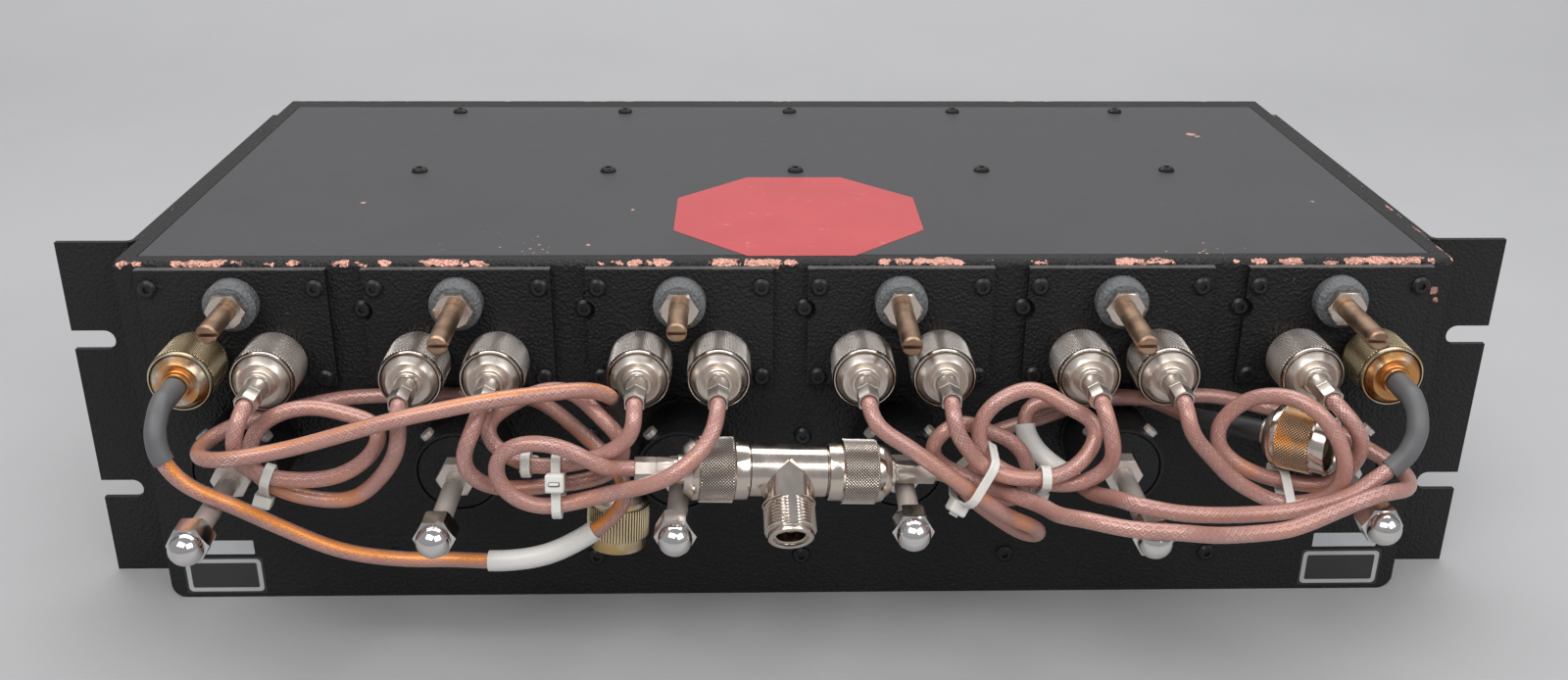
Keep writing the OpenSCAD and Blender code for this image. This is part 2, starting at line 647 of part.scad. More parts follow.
// A round bar swept along a line of points
module bar(c, d, n = 8) {
    m = sides_of(c);
    last = len(c) - 1;
    points = [for (i = [0:last]) each circle_at(c, m, i, d / 2, n)];
    faces = concat([[for (k = [0:n - 1]) k]], [[for (k = [n - 1:-1:0]) last * n + k]],
        [for (i = [0:last - 1]) for (k = [0:n - 1]) each let (a = i * n + k, b = i * n + (k + 1) % n)
            [[a, a + n, b], [b, a + n, b + n]]]);
    polyhedron(points, faces, convexity = 6);
}
// A sleeve swept along a line of points
sleeve_sides = 10;
module sleeve(c, d_out, bore, n = sleeve_sides) {
    m = sides_of(c);
    d_in = bore / cos(180 / n);
    last = len(c) - 1;
    inner = (last + 1) * n;
    points = concat([for (i = [0:last]) each circle_at(c, m, i, d_out / 2, n)],
        [for (i = [0:last]) each circle_at(c, m, i, d_in / 2, n)]);
    faces = concat([for (i = [0:last - 1]) for (k = [0:n - 1])
            each let (a = i * n + k, b = i * n + (k + 1) % n, c = inner + a, d = inner + b)
                [[a, a + n, b], [b, a + n, b + n], [c, d, c + n], [d, d + n, c + n]]],
        [for (k = [0:n - 1]) each let (a = k, b = (k + 1) % n)
            [[a, b, inner + a], [b, inner + b, inner + a]]],
        [for (k = [0:n - 1]) each let (a = last * n + k, b = last * n + (k + 1) % n)
            [[a, inner + a, b], [b, inner + a, inner + b]]]);
    polyhedron(points, faces, convexity = 6);
}

// Where the cables meet the connectors: inside the crimped ferrules, behind the round ones
ferrule_grip = 5;
cable_y = collar_y + round_ferrule_len + 0.2;
straight = 1.8;
past_mouth = 0.3;
function behind(i, y) = [jack_x(i), -y, 0];
function from_jack(i) = [behind(i, ferrule_y - ferrule_grip), behind(i, ferrule_y + past_mouth),
    behind(i, ferrule_y + past_mouth + straight)];
function to_jack(i) = [behind(i, ferrule_y + past_mouth + straight), behind(i, ferrule_y + past_mouth),
    behind(i, ferrule_y - ferrule_grip)];
function behind_jack(i) = [behind(i, cable_y), behind(i, cable_y + straight)];
function z_axis(a) = let (x = cos(a[0]) * sin(a[1]), y = -sin(a[0]))
    [x * cos(a[2]) - y * sin(a[2]), x * sin(a[2]) + y * cos(a[2]), cos(a[0]) * cos(a[1])];
function on_plug(pos, turn, y) = pos + (y - nut_y0) * z_axis(turn);
tee_axis = [cos(tee_turn[1]) * cos(tee_turn[2]), cos(tee_turn[1]) * sin(tee_turn[2]), -sin(tee_turn[1])];
function on_tee(s) = tee_pos + s * tee_axis;

// Routes of the cables as they are dressed, from one connector to the next, with Z from the jack axes
jumper_1_line = concat(from_jack(2), [
    [-166, -45, -2.5], [-168, -47, -9], [-168, -44, -18], [-162, -42, -23], [-151, -41.5, -25],
    [-138, -41.5, -23], [-128, -39, -16], [-127, -36, -9], [-136, -33, -7], [-148, -32, -4.5],
    [-160, -33, -7], [-167, -34, -14], [-168, -36, -23], [-161, -37, -30], [-149, -37, -34],
    [-136, -38.5, -33], [-123, -43.5, -19], [-118.5, -46.5, -7]], to_jack(3));
jumper_2_line = concat(from_jack(5), [
    [-48, -45.5, -2.5], [-49, -47, -8], [-59, -46, -15], [-70, -45.5, -18], [-80, -44, -19],
    [-89, -40.5, -16.5], [-94, -37, -13], [-94.5, -34.5, -9], [-90, -33, -5.7], [-84, -31.5, -2.5],
    [-77, -30.5, 0], [-68, -31, 0], [-59, -36.5, -6.5], [-52, -38.5, -14], [-54, -40, -22],
    [-64, -40, -26.5], [-77, -40.5, -28], [-87, -43, -27.5], [-96, -47, -23], [-100, -48.5, -15],
    [-97, -48, -7]], to_jack(4));
jumper_3_line = concat(from_jack(8), [
    [48.3, -45.5, -2.5], [49.5, -47, -8], [54, -46, -14], [58, -45, -20], [65, -45, -23],
    [72, -44.5, -24.5], [83, -43, -24], [90, -41, -20], [94.5, -37.5, -14], [94, -34.5, -9],
    [88, -34, -6.5], [82, -32.5, -3], [75, -31, 0.5], [68, -32, -1], [61, -33, -5.5],
    [57.5, -34.5, -13], [60, -37, -20.5], [67, -38.5, -25.5], [77, -39, -28.5], [89, -41.5, -28],
    [98, -44, -20], [97, -46.5, -10]], to_jack(9));
jumper_4_line = concat(from_jack(10), [
    [119.5, -45.5, -2.5], [121, -47, -8], [130, -44, -18.5], [137, -43, -26], [145, -42.5, -31],
    [152, -42.5, -34.5], [160, -44.5, -33.5], [167, -48.5, -28], [168.5, -50.5, -19], [166, -50.5, -11],
    [162, -50, -4], [156, -47, 1.5], [150, -42, 2.5], [143, -37, 0], [138, -34, -5],
    [133.5, -33, -12], [134, -34, -19], [141, -36, -25], [151, -36.5, -29], [160, -37.5, -30.4],
    [168.5, -42, -28.5], [173.5, -44, -20], [174.5, -46, -12], [169.5, -46.5, -4]], to_jack(11));
tee_left_line = concat(from_jack(6), [
    [-23, -46, -1.5], [-25, -52, -6], [-30, -56.5, -10.5], [-36, -59, -14.5], [-44, -57, -19],
    [-56, -51, -25], [-67, -49, -29], [-77, -50, -30], [-86, -51.5, -25], [-90, -51.5, -17],
    [-87, -51.5, -10], [-79, -52, -7], [-70, -52.5, -8], [-62, -53, -12], [-57, -51, -16.5]],
    [for (s = [50.5, 46, 41.5]) on_tee(-s)]);
tee_right_line = concat(from_jack(7), [
    [23.5, -45.5, -2.5], [26, -47, -6], [33, -48, -10], [41, -48.5, -16], [49, -48, -22.5],
    [57, -47, -29], [65, -44, -36.5], [73, -41, -42], [78.5, -39, -45.5], [80, -36.5, -49.5],
    [75, -34, -50.5], [67, -34, -45], [59, -36, -38], [54.5, -37, -32.5]],
    [for (s = [51, 46.5, 41.5]) on_tee(s)]);
tx_line = concat(behind_jack(1), [
    [-190.6, -44, -2], [-190.5, -48.5, -9], [-186, -49.5, -19], [-179, -49, -25], [-171.5, -48.5, -29],
    [-158, -43, -41], [-142, -40, -51], [-124, -38, -55.5], [-108, -38, -55.7], [-98, -38.6, -56],
    [-88, -39, -55.6], [-76, -39, -53], [-62, -38.5, -45], [-53, -37, -37], [-53, -33, -30], [-58, -28, -25],
    [-66, -19, -22], [-74, -11, -19], [-84, -5, -15], [-98, -4, -14], [-134, -4.5, -14], [-150, -8, -14],
    [-172, -22.5, -14], [-181, -30, -16], [-181.5, -41.5, -16], [-170.5, -51.5, -12.5], [-150, -51, -9],
    [-119, -52, 0.5], [-104, -51, 3.5], [-90, -50, 6], [-76, -47, 6.5], [-65, -42, 5.5],
    [-57, -36, 1.5], [-53.5, -30, -7.5], [-54.5, -23, -18]],
    [on_plug(tx_plug_pos, tx_plug_turn, cable_y + straight), on_plug(tx_plug_pos, tx_plug_turn, cable_y)]);
rx_line = concat(behind_jack(2 * cavities), [
    [190.5, -44.5, -2.5], [189.5, -48.5, -10], [184.5, -50, -17], [177, -51, -21.8], [170, -54.8, -25],
    [153.3, -56, -29.3], [138, -59, -29], [124, -63, -26.8], [113, -65.3, -24.7], [106.5, -65.5, -23.1],
    [100.3, -64, -22.3], [98.5, -57.5, -24.6], [96.6, -50, -27.6], [95.4, -43.5, -31], [92.6, -37, -32.4], [90.3, -29, -32.6], [87.6, -23, -33.3], [82.3, -19, -30.6],
    [78.9, -17, -27.3], [76.7, -15, -23.6], [75.9, -13, -20.3], [77.4, -11.5, -16.4], [81, -11, -13.8],
    [94, -11, -13.8], [108, -10.5, -13.2], [119.5, -10, -13.8], [130, -8, -13.8], [140, -6.5, -14.5],
    [149, -7.5, -16], [156, -12, -16.3], [163, -17.5, -15.6], [169, -22.5, -15.8], [174, -28, -17],
    [180, -31.5, -19.6], [186, -36, -22.2], [191, -42.5, -24], [189, -51, -25], [180, -57.3, -22.5], [168, -61.6, -23.8],
    [150, -65, -30.2], [139, -67.5, -30.4], [127.7, -71, -29], [120, -74.5, -26.8], [112, -79, -23.3],
    [104.3, -80, -22.2], [97, -79, -22.2], [90, -76.5, -22], [84, -72, -22.7], [78.5, -63, -26.5], [75, -50, -30],
    [62, -37, -31.5], [56, -31, -31], [49, -29, -28.5], [44, -30, -23], [46, -31.5, -15.5], [54, -29, -12],
    [61.2, -28, -16], [69.3, -27, -19.5], [74.2, -28, -24.3], [76, -28, -30.3], [76.5, -24, -38.7],
    [74, -18, -47], [66, -15, -46.5], [60, -12.5, -38], [61, -7.5, -32], [68.6, -5, -28], [81.5, -4.6, -24],
    [89, -4.6, -21.3], [97, -4.6, -17.6], [105.5, -4.6, -15.4], [114, -4.6, -15.6], [121, -4.6, -17], [126, -6, -19],
    [131, -11, -19.7], [136, -18, -18]],
    [on_plug(rx_plug_pos, rx_plug_turn, cable_y + straight), on_plug(rx_plug_pos, rx_plug_turn, cable_y)]);

module held_cable(line) { bar(smooth(line, 2), cable_d); }
module jumper_cable_1() { on_jacks() color(pink) held_cable(jumper_1_line); }
module jumper_cable_2() { on_jacks() color(pink) held_cable(jumper_2_line); }
module jumper_cable_3() { on_jacks() color(pink) held_cable(jumper_3_line); }
module jumper_cable_4() { on_jacks() color(pink) held_cable(jumper_4_line); }
module tee_lead_left() { on_jacks() color(pink) held_cable(tee_left_line); }
module tee_lead_right() { on_jacks() color(pink) held_cable(tee_right_line); }
module tx_pigtail() { on_jacks() color(pink) bar(tx_line, cable_d); }
module rx_pigtail() { on_jacks() color(pink) bar(rx_line, cable_d); }

// Sleeves shrunk over both ends of each pigtail, and a loose clear sleeve on each
shrink_bore = round_ferrule_d + 0.15;
sleeve_y = collar_y + 0.2;
function at_jack_end(i, line, n) = concat([behind(i, sleeve_y)], part_of(line, 0, n));
function at_plug_end(pos, turn, line, n) =
    concat(part_of(line, len(line) - n, len(line) - 1), [on_plug(pos, turn, sleeve_y)]);
module shrink_sleeves() {
    on_jacks() color([0.33, 0.32, 0.31]) {
        sleeve(at_jack_end(1, tx_line, 5), shrink_d, shrink_bore);
        sleeve(at_jack_end(2 * cavities, rx_line, 5), shrink_d, shrink_bore);
        sleeve(at_plug_end(tx_plug_pos, tx_plug_turn, tx_line, 5), shrink_d, shrink_bore);
        sleeve(at_plug_end(rx_plug_pos, rx_plug_turn, rx_line, 4), shrink_d, shrink_bore);
    }
}
clear_d = 6.8;
module clear_sleeves() {
    on_jacks() color([0.85, 0.84, 0.82]) {
        sleeve(part_of(tx_line, 11, 14), clear_d, cable_d + 0.3);
        sleeve(part_of(rx_line, 17, 22), clear_d, cable_d + 0.3);
    }
}

// A tie round a bundle: a strap in a plane tilted about Y, round the given (y, z) points, with a small head
tie_w = 3;
tie_t = 0.8;
head_l = 4;
head_w = 5.6;
module round_all(points, r) { hull() for (p = points) translate(p) circle(r, $fn = 24); }
module tie(middle, tilt, points, r, head, turn) {
    translate(middle) rotate([0, tilt, 0]) rotate([90, 0, 90]) {
        translate([0, 0, -tie_w / 2]) linear_extrude(tie_w) difference() {
            round_all(points, r + tie_t);
            round_all(points, r);
        }
        translate([0, 0, -head_w / 2]) linear_extrude(head_w)
            translate(head) rotate(turn) translate([r + tie_t / 2, -head_w / 2]) square([head_l, head_w]);
    }
}
module cable_ties() {
    on_jacks() color([0.86, 0.86, 0.84]) {
        tie([-162, -40, -26.5], 20, [[-1.9, 3.4], [3.2, -2.3]], 3.3, [3.2, -2.3], -100);
        tie([-81.5, -44, -19], 0, [[0.5, 0.3]], 3.4, [0.5, 0.3], -30);
        tie([-72, -45, -24], 0, [[-0.3, 5.7], [4.8, -3.7], [-4.3, -6]], 3.2, [-1.7, 1.5], 161);
        tie([57, -42, -25], 32, [[-3, 4.9], [5.1, 5.5], [-5.3, -3.1], [5.1, -7.1], [11.6, -6.1]], 4,
            [0, -5.1], -111);
        tie([78, -42, -27], 0, [[-1.8, 2.5], [2.8, -1.6]], 3.2, [2.8, -1.6], -60);
        tie([155, -40, -32], 0, [[-3.1, -2.5], [3.3, 2.1]], 3.3, [3.3, 2.1], 0);
    }
}

cavity_housing();
top_cover();
cavity_dividers();
left_rack_bracket();
right_rack_bracket();
bracket_screws();
loop_plates();
plate_screws();
panel_screws();
cover_screws();
trimmer_bushes();
trimmer_locknuts();
trimmer_rod_1();
trimmer_rod_2();
trimmer_rod_3();
trimmer_rod_4();
trimmer_rod_5();
trimmer_rod_6();
resonator_tubes();
contact_collars();
boss_plugs();
boss_screws();
tuning_locknuts();
tuning_rod_1();
tuning_rod_2();
tuning_rod_3();
tuning_rod_4();
tuning_rod_5();
tuning_rod_6();
acorn_nut_1();
acorn_nut_2();
acorn_nut_3();
acorn_nut_4();
acorn_nut_5();
acorn_nut_6();
panel_jacks();
jack_contacts();
jack_nuts();
coupling_loops();
coupling_nuts();
plug_bodies();
crimp_ferrules();
jumper_cable_1();
jumper_cable_2();
jumper_cable_3();
jumper_cable_4();
tee_lead_left();
tee_lead_right();
tx_pigtail();
rx_pigtail();
tee_body();
tee_contacts();
shrink_sleeves();
clear_sleeves();
cable_ties();
tx_free_plug();
tx_free_nut();
rx_free_plug();
rx_free_nut();
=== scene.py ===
"""Looks of the cavity duplexer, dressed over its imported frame."""

import json
import math
from functools import reduce

import bpy
from mathutils import Matrix, Vector
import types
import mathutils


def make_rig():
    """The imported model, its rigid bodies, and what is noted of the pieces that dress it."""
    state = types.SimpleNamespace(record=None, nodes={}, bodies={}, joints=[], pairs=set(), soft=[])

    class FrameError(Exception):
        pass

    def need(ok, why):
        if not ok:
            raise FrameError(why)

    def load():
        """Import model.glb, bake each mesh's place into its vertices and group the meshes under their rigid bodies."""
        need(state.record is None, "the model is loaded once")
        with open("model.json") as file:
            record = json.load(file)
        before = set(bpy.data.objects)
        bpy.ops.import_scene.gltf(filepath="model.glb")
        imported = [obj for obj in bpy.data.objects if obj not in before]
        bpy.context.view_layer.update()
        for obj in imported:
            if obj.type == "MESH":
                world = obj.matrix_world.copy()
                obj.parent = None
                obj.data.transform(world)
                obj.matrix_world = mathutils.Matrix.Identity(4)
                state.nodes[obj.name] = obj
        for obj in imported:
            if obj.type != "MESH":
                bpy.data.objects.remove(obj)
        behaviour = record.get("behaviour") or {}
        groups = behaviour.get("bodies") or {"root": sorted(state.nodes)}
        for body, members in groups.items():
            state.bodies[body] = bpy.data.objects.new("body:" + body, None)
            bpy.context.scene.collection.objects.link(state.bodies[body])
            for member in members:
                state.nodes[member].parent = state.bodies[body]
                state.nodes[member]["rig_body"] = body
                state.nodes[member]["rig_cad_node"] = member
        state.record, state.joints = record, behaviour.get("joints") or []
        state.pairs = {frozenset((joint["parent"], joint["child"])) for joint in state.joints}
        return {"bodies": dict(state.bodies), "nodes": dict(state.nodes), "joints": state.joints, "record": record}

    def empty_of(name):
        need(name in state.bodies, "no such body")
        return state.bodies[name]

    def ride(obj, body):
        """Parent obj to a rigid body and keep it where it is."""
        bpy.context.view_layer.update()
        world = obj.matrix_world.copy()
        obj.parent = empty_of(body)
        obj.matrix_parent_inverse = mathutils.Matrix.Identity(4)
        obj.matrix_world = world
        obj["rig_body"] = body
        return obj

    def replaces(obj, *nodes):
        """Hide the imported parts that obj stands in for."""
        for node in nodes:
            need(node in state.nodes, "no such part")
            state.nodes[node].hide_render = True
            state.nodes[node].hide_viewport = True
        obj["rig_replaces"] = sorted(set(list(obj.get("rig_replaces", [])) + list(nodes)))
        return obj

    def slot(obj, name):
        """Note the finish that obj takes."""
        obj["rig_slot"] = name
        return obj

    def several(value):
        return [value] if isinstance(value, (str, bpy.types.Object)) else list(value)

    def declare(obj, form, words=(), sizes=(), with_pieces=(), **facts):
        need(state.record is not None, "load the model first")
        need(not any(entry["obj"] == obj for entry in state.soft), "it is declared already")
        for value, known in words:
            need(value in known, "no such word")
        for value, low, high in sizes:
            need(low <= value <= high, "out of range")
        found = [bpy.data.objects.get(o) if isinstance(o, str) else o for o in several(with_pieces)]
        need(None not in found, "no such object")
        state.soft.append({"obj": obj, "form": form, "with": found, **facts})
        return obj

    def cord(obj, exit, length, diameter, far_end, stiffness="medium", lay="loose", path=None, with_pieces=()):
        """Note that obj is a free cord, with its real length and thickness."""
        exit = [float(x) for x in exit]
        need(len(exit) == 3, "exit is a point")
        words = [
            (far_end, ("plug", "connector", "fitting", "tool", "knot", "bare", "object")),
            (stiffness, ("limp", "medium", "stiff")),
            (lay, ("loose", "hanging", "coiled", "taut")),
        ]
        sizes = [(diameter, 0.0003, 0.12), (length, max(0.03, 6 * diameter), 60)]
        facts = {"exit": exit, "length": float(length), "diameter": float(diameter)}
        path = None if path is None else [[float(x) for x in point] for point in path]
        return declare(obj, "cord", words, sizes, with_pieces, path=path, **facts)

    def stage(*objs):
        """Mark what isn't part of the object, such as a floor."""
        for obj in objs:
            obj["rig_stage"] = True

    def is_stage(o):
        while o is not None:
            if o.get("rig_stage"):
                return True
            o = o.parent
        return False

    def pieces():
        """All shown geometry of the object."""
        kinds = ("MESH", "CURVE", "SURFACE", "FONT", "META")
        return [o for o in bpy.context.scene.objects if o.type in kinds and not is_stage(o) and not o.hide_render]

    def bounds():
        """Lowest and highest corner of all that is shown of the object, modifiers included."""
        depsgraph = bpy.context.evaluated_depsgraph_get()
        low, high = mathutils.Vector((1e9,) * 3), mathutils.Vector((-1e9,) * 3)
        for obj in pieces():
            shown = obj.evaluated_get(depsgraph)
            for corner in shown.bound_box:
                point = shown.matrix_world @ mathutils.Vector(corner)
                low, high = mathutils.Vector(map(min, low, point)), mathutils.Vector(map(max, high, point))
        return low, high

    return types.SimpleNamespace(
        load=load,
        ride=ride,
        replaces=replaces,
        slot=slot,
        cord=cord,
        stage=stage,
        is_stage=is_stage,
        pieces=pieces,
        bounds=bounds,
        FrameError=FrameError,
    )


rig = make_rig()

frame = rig.load()
cad_box = [list(corner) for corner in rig.bounds()]
NODES = frame["nodes"]

# Sizes and places, in millimetres, as in the part's source, with the case front at Y = 0
MM = 0.001
FRONT_Y = -65.15
CASE_W, CASE_D, CASE_H = 430, 204, 125
PLATE_TOP = 123.3
CAVITIES, PITCH = 6, 71.2
JACK_SPACING, JACK_Z = 25.3, 94
NUT_Y0, NUT_Y1 = 6.0, 23.5
NUT_R, NUT_BORE = 10.15, 9.25
REAR_Y, COLLAR_Y, FERRULE_Y = 26.0, 27.5, 40.5
ROUND_END, CABLE_Y = 36.0, 36.2
CABLE_R, CLEAR_R = 2.5, 3.35
THREAD_R = 7.9375
TEE_POS, TEE_TURN = (-2, -41.5, 71.5), (0, 4.4, 5.8)
TEE_HALF, PORT_ANGLE, PORT_LEN = 12.3, 33, 23.5
TX_PLUG_POS, TX_PLUG_TURN = (-57, -22, 34), (-6, 3, 0)
RX_PLUG_POS, RX_PLUG_TURN = (166.5, -42.8, 79.5), (0, -94, -38)


def at(x, y, z):
    """A point given from the case front in millimetres, in the shared frame in metres."""
    return Vector((x, y + FRONT_Y, z)) * MM


def turned(degrees_xyz):
    x, y, z = (math.radians(a) for a in degrees_xyz)
    return Matrix.Rotation(z, 4, "Z") @ Matrix.Rotation(y, 4, "Y") @ Matrix.Rotation(x, 4, "X")


def placed(pos, turn, shift=0.0):
    """The place of a piece that is drawn along Z, in millimetres, from pos."""
    move = Matrix.Translation(at(*pos)) @ turned(turn)
    return move @ Matrix.Scale(MM, 4) @ Matrix.Translation((0, 0, shift))


def circle(n):
    """The cosine and sine at n even steps round a circle."""
    return [(math.cos(2 * math.pi * k / n), math.sin(2 * math.pi * k / n)) for k in range(n)]


def added(name, data):
    """A new object in the scene."""
    made = bpy.data.objects.new(name, data)
    bpy.context.scene.collection.objects.link(made)
    return made


def jack_x(i):
    """Jacks are numbered from 1 at the left, two to a cavity."""
    cavity = (i + 1) // 2 - (CAVITIES + 1) / 2
    side = -1 if i % 2 else 1
    return cavity * PITCH + side * JACK_SPACING / 2


JACKS = [placed((jack_x(i), 0, JACK_Z), (90, 0, 0)) for i in range(1, 2 * CAVITIES + 1)]
IN_TEE = placed(TEE_POS, TEE_TURN)
TEE_ARMS = [IN_TEE @ Matrix.Rotation(math.radians(s * 90), 4, "Y")
            @ Matrix.Translation((0, 0, TEE_HALF - NUT_Y0)) for s in (-1, 1)]
TEE_PORT = IN_TEE @ Matrix.Rotation(math.radians(90 + PORT_ANGLE), 4, "X")
TX_PLUG = placed(TX_PLUG_POS, TX_PLUG_TURN, -NUT_Y0)
RX_PLUG = placed(RX_PLUG_POS, RX_PLUG_TURN, -NUT_Y0)


# Camera, solved from the photograph: its lens in pixels of the whole frame, place and turns

LENS_PIXELS, IMAGE_W, SENSOR_W = 1510.2, 1600, 36
CENTRE_DROP = -5.35
CAMERA_POS = (-13.83, -444.58, 290.86)
YAW, PITCH_DOWN, ROLL = 0.0267, 0.4068, 0.0069


def make_camera():
    data = bpy.data.cameras.new("camera")
    camera = added("camera", data)
    forward = Vector((math.sin(YAW) * math.cos(PITCH_DOWN), math.cos(YAW) * math.cos(PITCH_DOWN),
                      -math.sin(PITCH_DOWN)))
    level = Vector((math.cos(YAW), -math.sin(YAW), 0))
    upright = level.cross(forward)
    right = level * math.cos(ROLL) + upright * math.sin(ROLL)
    up = upright * math.cos(ROLL) - level * math.sin(ROLL)
    turn = Matrix((right, up, -forward)).transposed().to_4x4()
    camera.matrix_world = Matrix.Translation(at(*CAMERA_POS)) @ turn
    data.sensor_fit = "HORIZONTAL"
    data.sensor_width = SENSOR_W
    data.lens = SENSOR_W * LENS_PIXELS / IMAGE_W
    data.shift_y = CENTRE_DROP / IMAGE_W
    data.clip_start, data.clip_end = 0.01, 20
    bpy.context.scene.camera = camera


make_camera()


# Meshes

class Shape:
    """Collects the vertices, faces, UVs and material numbers of one piece."""

    def __init__(self):
        self.verts, self.faces, self.uvs, self.slots, self.flat = [], [], [], [], []

    def face(self, corners, uv, slot=0, flat=False):
        self.faces.append(corners)
        self.uvs.append(uv)
        self.slots.append(slot)
        self.flat.append(flat)

    def grid(self, rows, closed=True, slot=0):
        """Joins rows of points into quads. U runs along a row and V, in millimetres, from row to row."""
        start, n = len(self.verts), len(rows[0])
        lengths = [0.0]
        for a, b in zip(rows, rows[1:]):
            lengths.append(lengths[-1] + (b[0] - a[0]).length / MM)
        for row in rows:
            self.verts.extend(row)
        for i in range(len(rows) - 1):
            for k in range(n if closed else n - 1):
                a, b = start + i * n + k, start + i * n + (k + 1) % n
                u0, u1 = k / n, (k + 1) / n
                v0, v1 = lengths[i], lengths[i + 1]
                self.face((a, b, b + n, a + n), ((u0, v0), (u1, v0), (u1, v1), (u0, v1)), slot)
        return start

    def cap(self, first, n, backwards=False, slot=0):
        """Closes a ring of n vertices with one face."""
        corners = list(range(first, first + n))
        if backwards:
            corners.reverse()
        self.face(corners, [(0.5 + 0.5 * c, 0.5 + 0.5 * s) for c, s in circle(n)], slot)

    def lathe(self, profile, place, n, slot=0):
        """Turns (r, z) points about Z."""
        self.grid([[place @ Vector((r * c, r * s, z)) for c, s in circle(n)] for r, z in profile], slot=slot)

    def box(self, low, high, place):
        (x0, y0, z0), (x1, y1, z1) = low, high
        start = len(self.verts)
        self.verts.extend(place @ Vector((x, y, z)) for z in (z0, z1)
                          for x, y in ((x0, y0), (x1, y0), (x1, y1), (x0, y1)))
        for f in ((0, 3, 2, 1), (4, 5, 6, 7), (0, 1, 5, 4), (1, 2, 6, 5), (2, 3, 7, 6), (3, 0, 4, 7)):
            self.face([start + k for k in f], ((0, 0), (1, 0), (1, 1), (0, 1)))

    def plate(self, outline, thickness, place, hole=None, slot=0, bevel=0.0):
        """A flat plate over an outline of (x, y) points, lying on Z = 0 of place."""
        n = len(outline)
        cx = sum(p[0] for p in outline) / n
        cy = sum(p[1] for p in outline) / n

        def row(shrink, z):
            out = []
            for x, y in outline:
                d = math.hypot(x - cx, y - cy)
                f = (d - shrink) / d
                out.append(place @ Vector((cx + (x - cx) * f, cy + (y - cy) * f, z)))
            return out
        rows = [row(0, 0), row(0, thickness - bevel)]
        if bevel:
            rows.append(row(bevel, thickness))
        if hole:
            rows += [[place @ Vector((x, y, z)) for x, y in hole] for z in (thickness, 0)]
        start = self.grid(rows, slot=slot)
        if not hole:
            self.cap(start, n, True, slot)
            self.cap(start + (len(rows) - 1) * n, n, False, slot)

    def tube(self, line, radius, sides=16, bore=0.0, slot=0):
        """Sweeps a circle along a line of points. radius is a number or radius(length, k)."""
        side = Vector((0.31, 0.22, 0.92))
        rows, inner, run = [], [], 0.0
        for i, p in enumerate(line):
            a, b = line[max(i - 1, 0)], line[min(i + 1, len(line) - 1)]
            t = (b - a).normalized()
            if i:
                run += (p - a).length / MM
            side = (side - t * side.dot(t)).normalized()
            other = t.cross(side)
            spokes = [side * c + other * s for c, s in circle(sides)]
            rows.append([p + d * (radius(run, k) if callable(radius) else radius) * MM
                         for k, d in enumerate(spokes)])
            inner.append([p + d * bore * MM for d in spokes])
        if bore:
            self.grid([inner[0]] + rows + inner[:0:-1] + [inner[0]], slot=slot)
            return
        start = self.grid(rows, slot=slot)
        self.cap(start, sides, True, slot)
        self.cap(start + (len(rows) - 1) * sides, sides, False, slot)

    def piece(self, name, looks, slot, node=None, body="case", sharp=35):
        """Makes the Blender object, with its materials, its body, its slot and the node it replaces."""
        mesh = bpy.data.meshes.new(name)
        mesh.from_pydata([tuple(v) for v in self.verts], [], [tuple(f) for f in self.faces])
        layer = mesh.uv_layers.new(name="UVMap")
        layer.data.foreach_set("uv", [value for uv in self.uvs for corner in uv for value in corner])
        mesh.polygons.foreach_set("material_index", self.slots)
        mesh.polygons.foreach_set("use_smooth", [not f for f in self.flat])
        for look in looks:
            mesh.materials.append(look)
        mesh.set_sharp_from_angle(angle=math.radians(sharp))
        mesh.update()
        made = added(name, mesh)
        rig.ride(made, body)
        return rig.slot(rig.replaces(made, node) if node else made, slot)


# Materials

def distance(dx, dy):
    return (dx * dx + dy * dy).do("SQRT")


def largest(*values):
    return reduce(lambda a, b: a.do("MAXIMUM", b), values)


def smallest(*values):
    return reduce(lambda a, b: a.do("MINIMUM", b), values)


def toned(color, factor):
    """A lighter or darker tone of a colour."""
    return tuple(min(c * factor, 1) for c in color)


class Value:
    """A number or colour that varies over a surface, worked out by the nodes of a look."""

    def __init__(self, look, socket):
        self.look, self.socket = look, socket

    def do(self, operation, *others):
        return self.look.math(operation, self, *others)

    def __add__(self, other):
        return self.do("ADD", other)

    def __sub__(self, other):
        return self.do("SUBTRACT", other)

    def __rsub__(self, other):
        return self.look.math("SUBTRACT", other, self)

    def __mul__(self, other):
        return self.do("MULTIPLY", other)

    def __abs__(self):
        return self.do("ABSOLUTE")


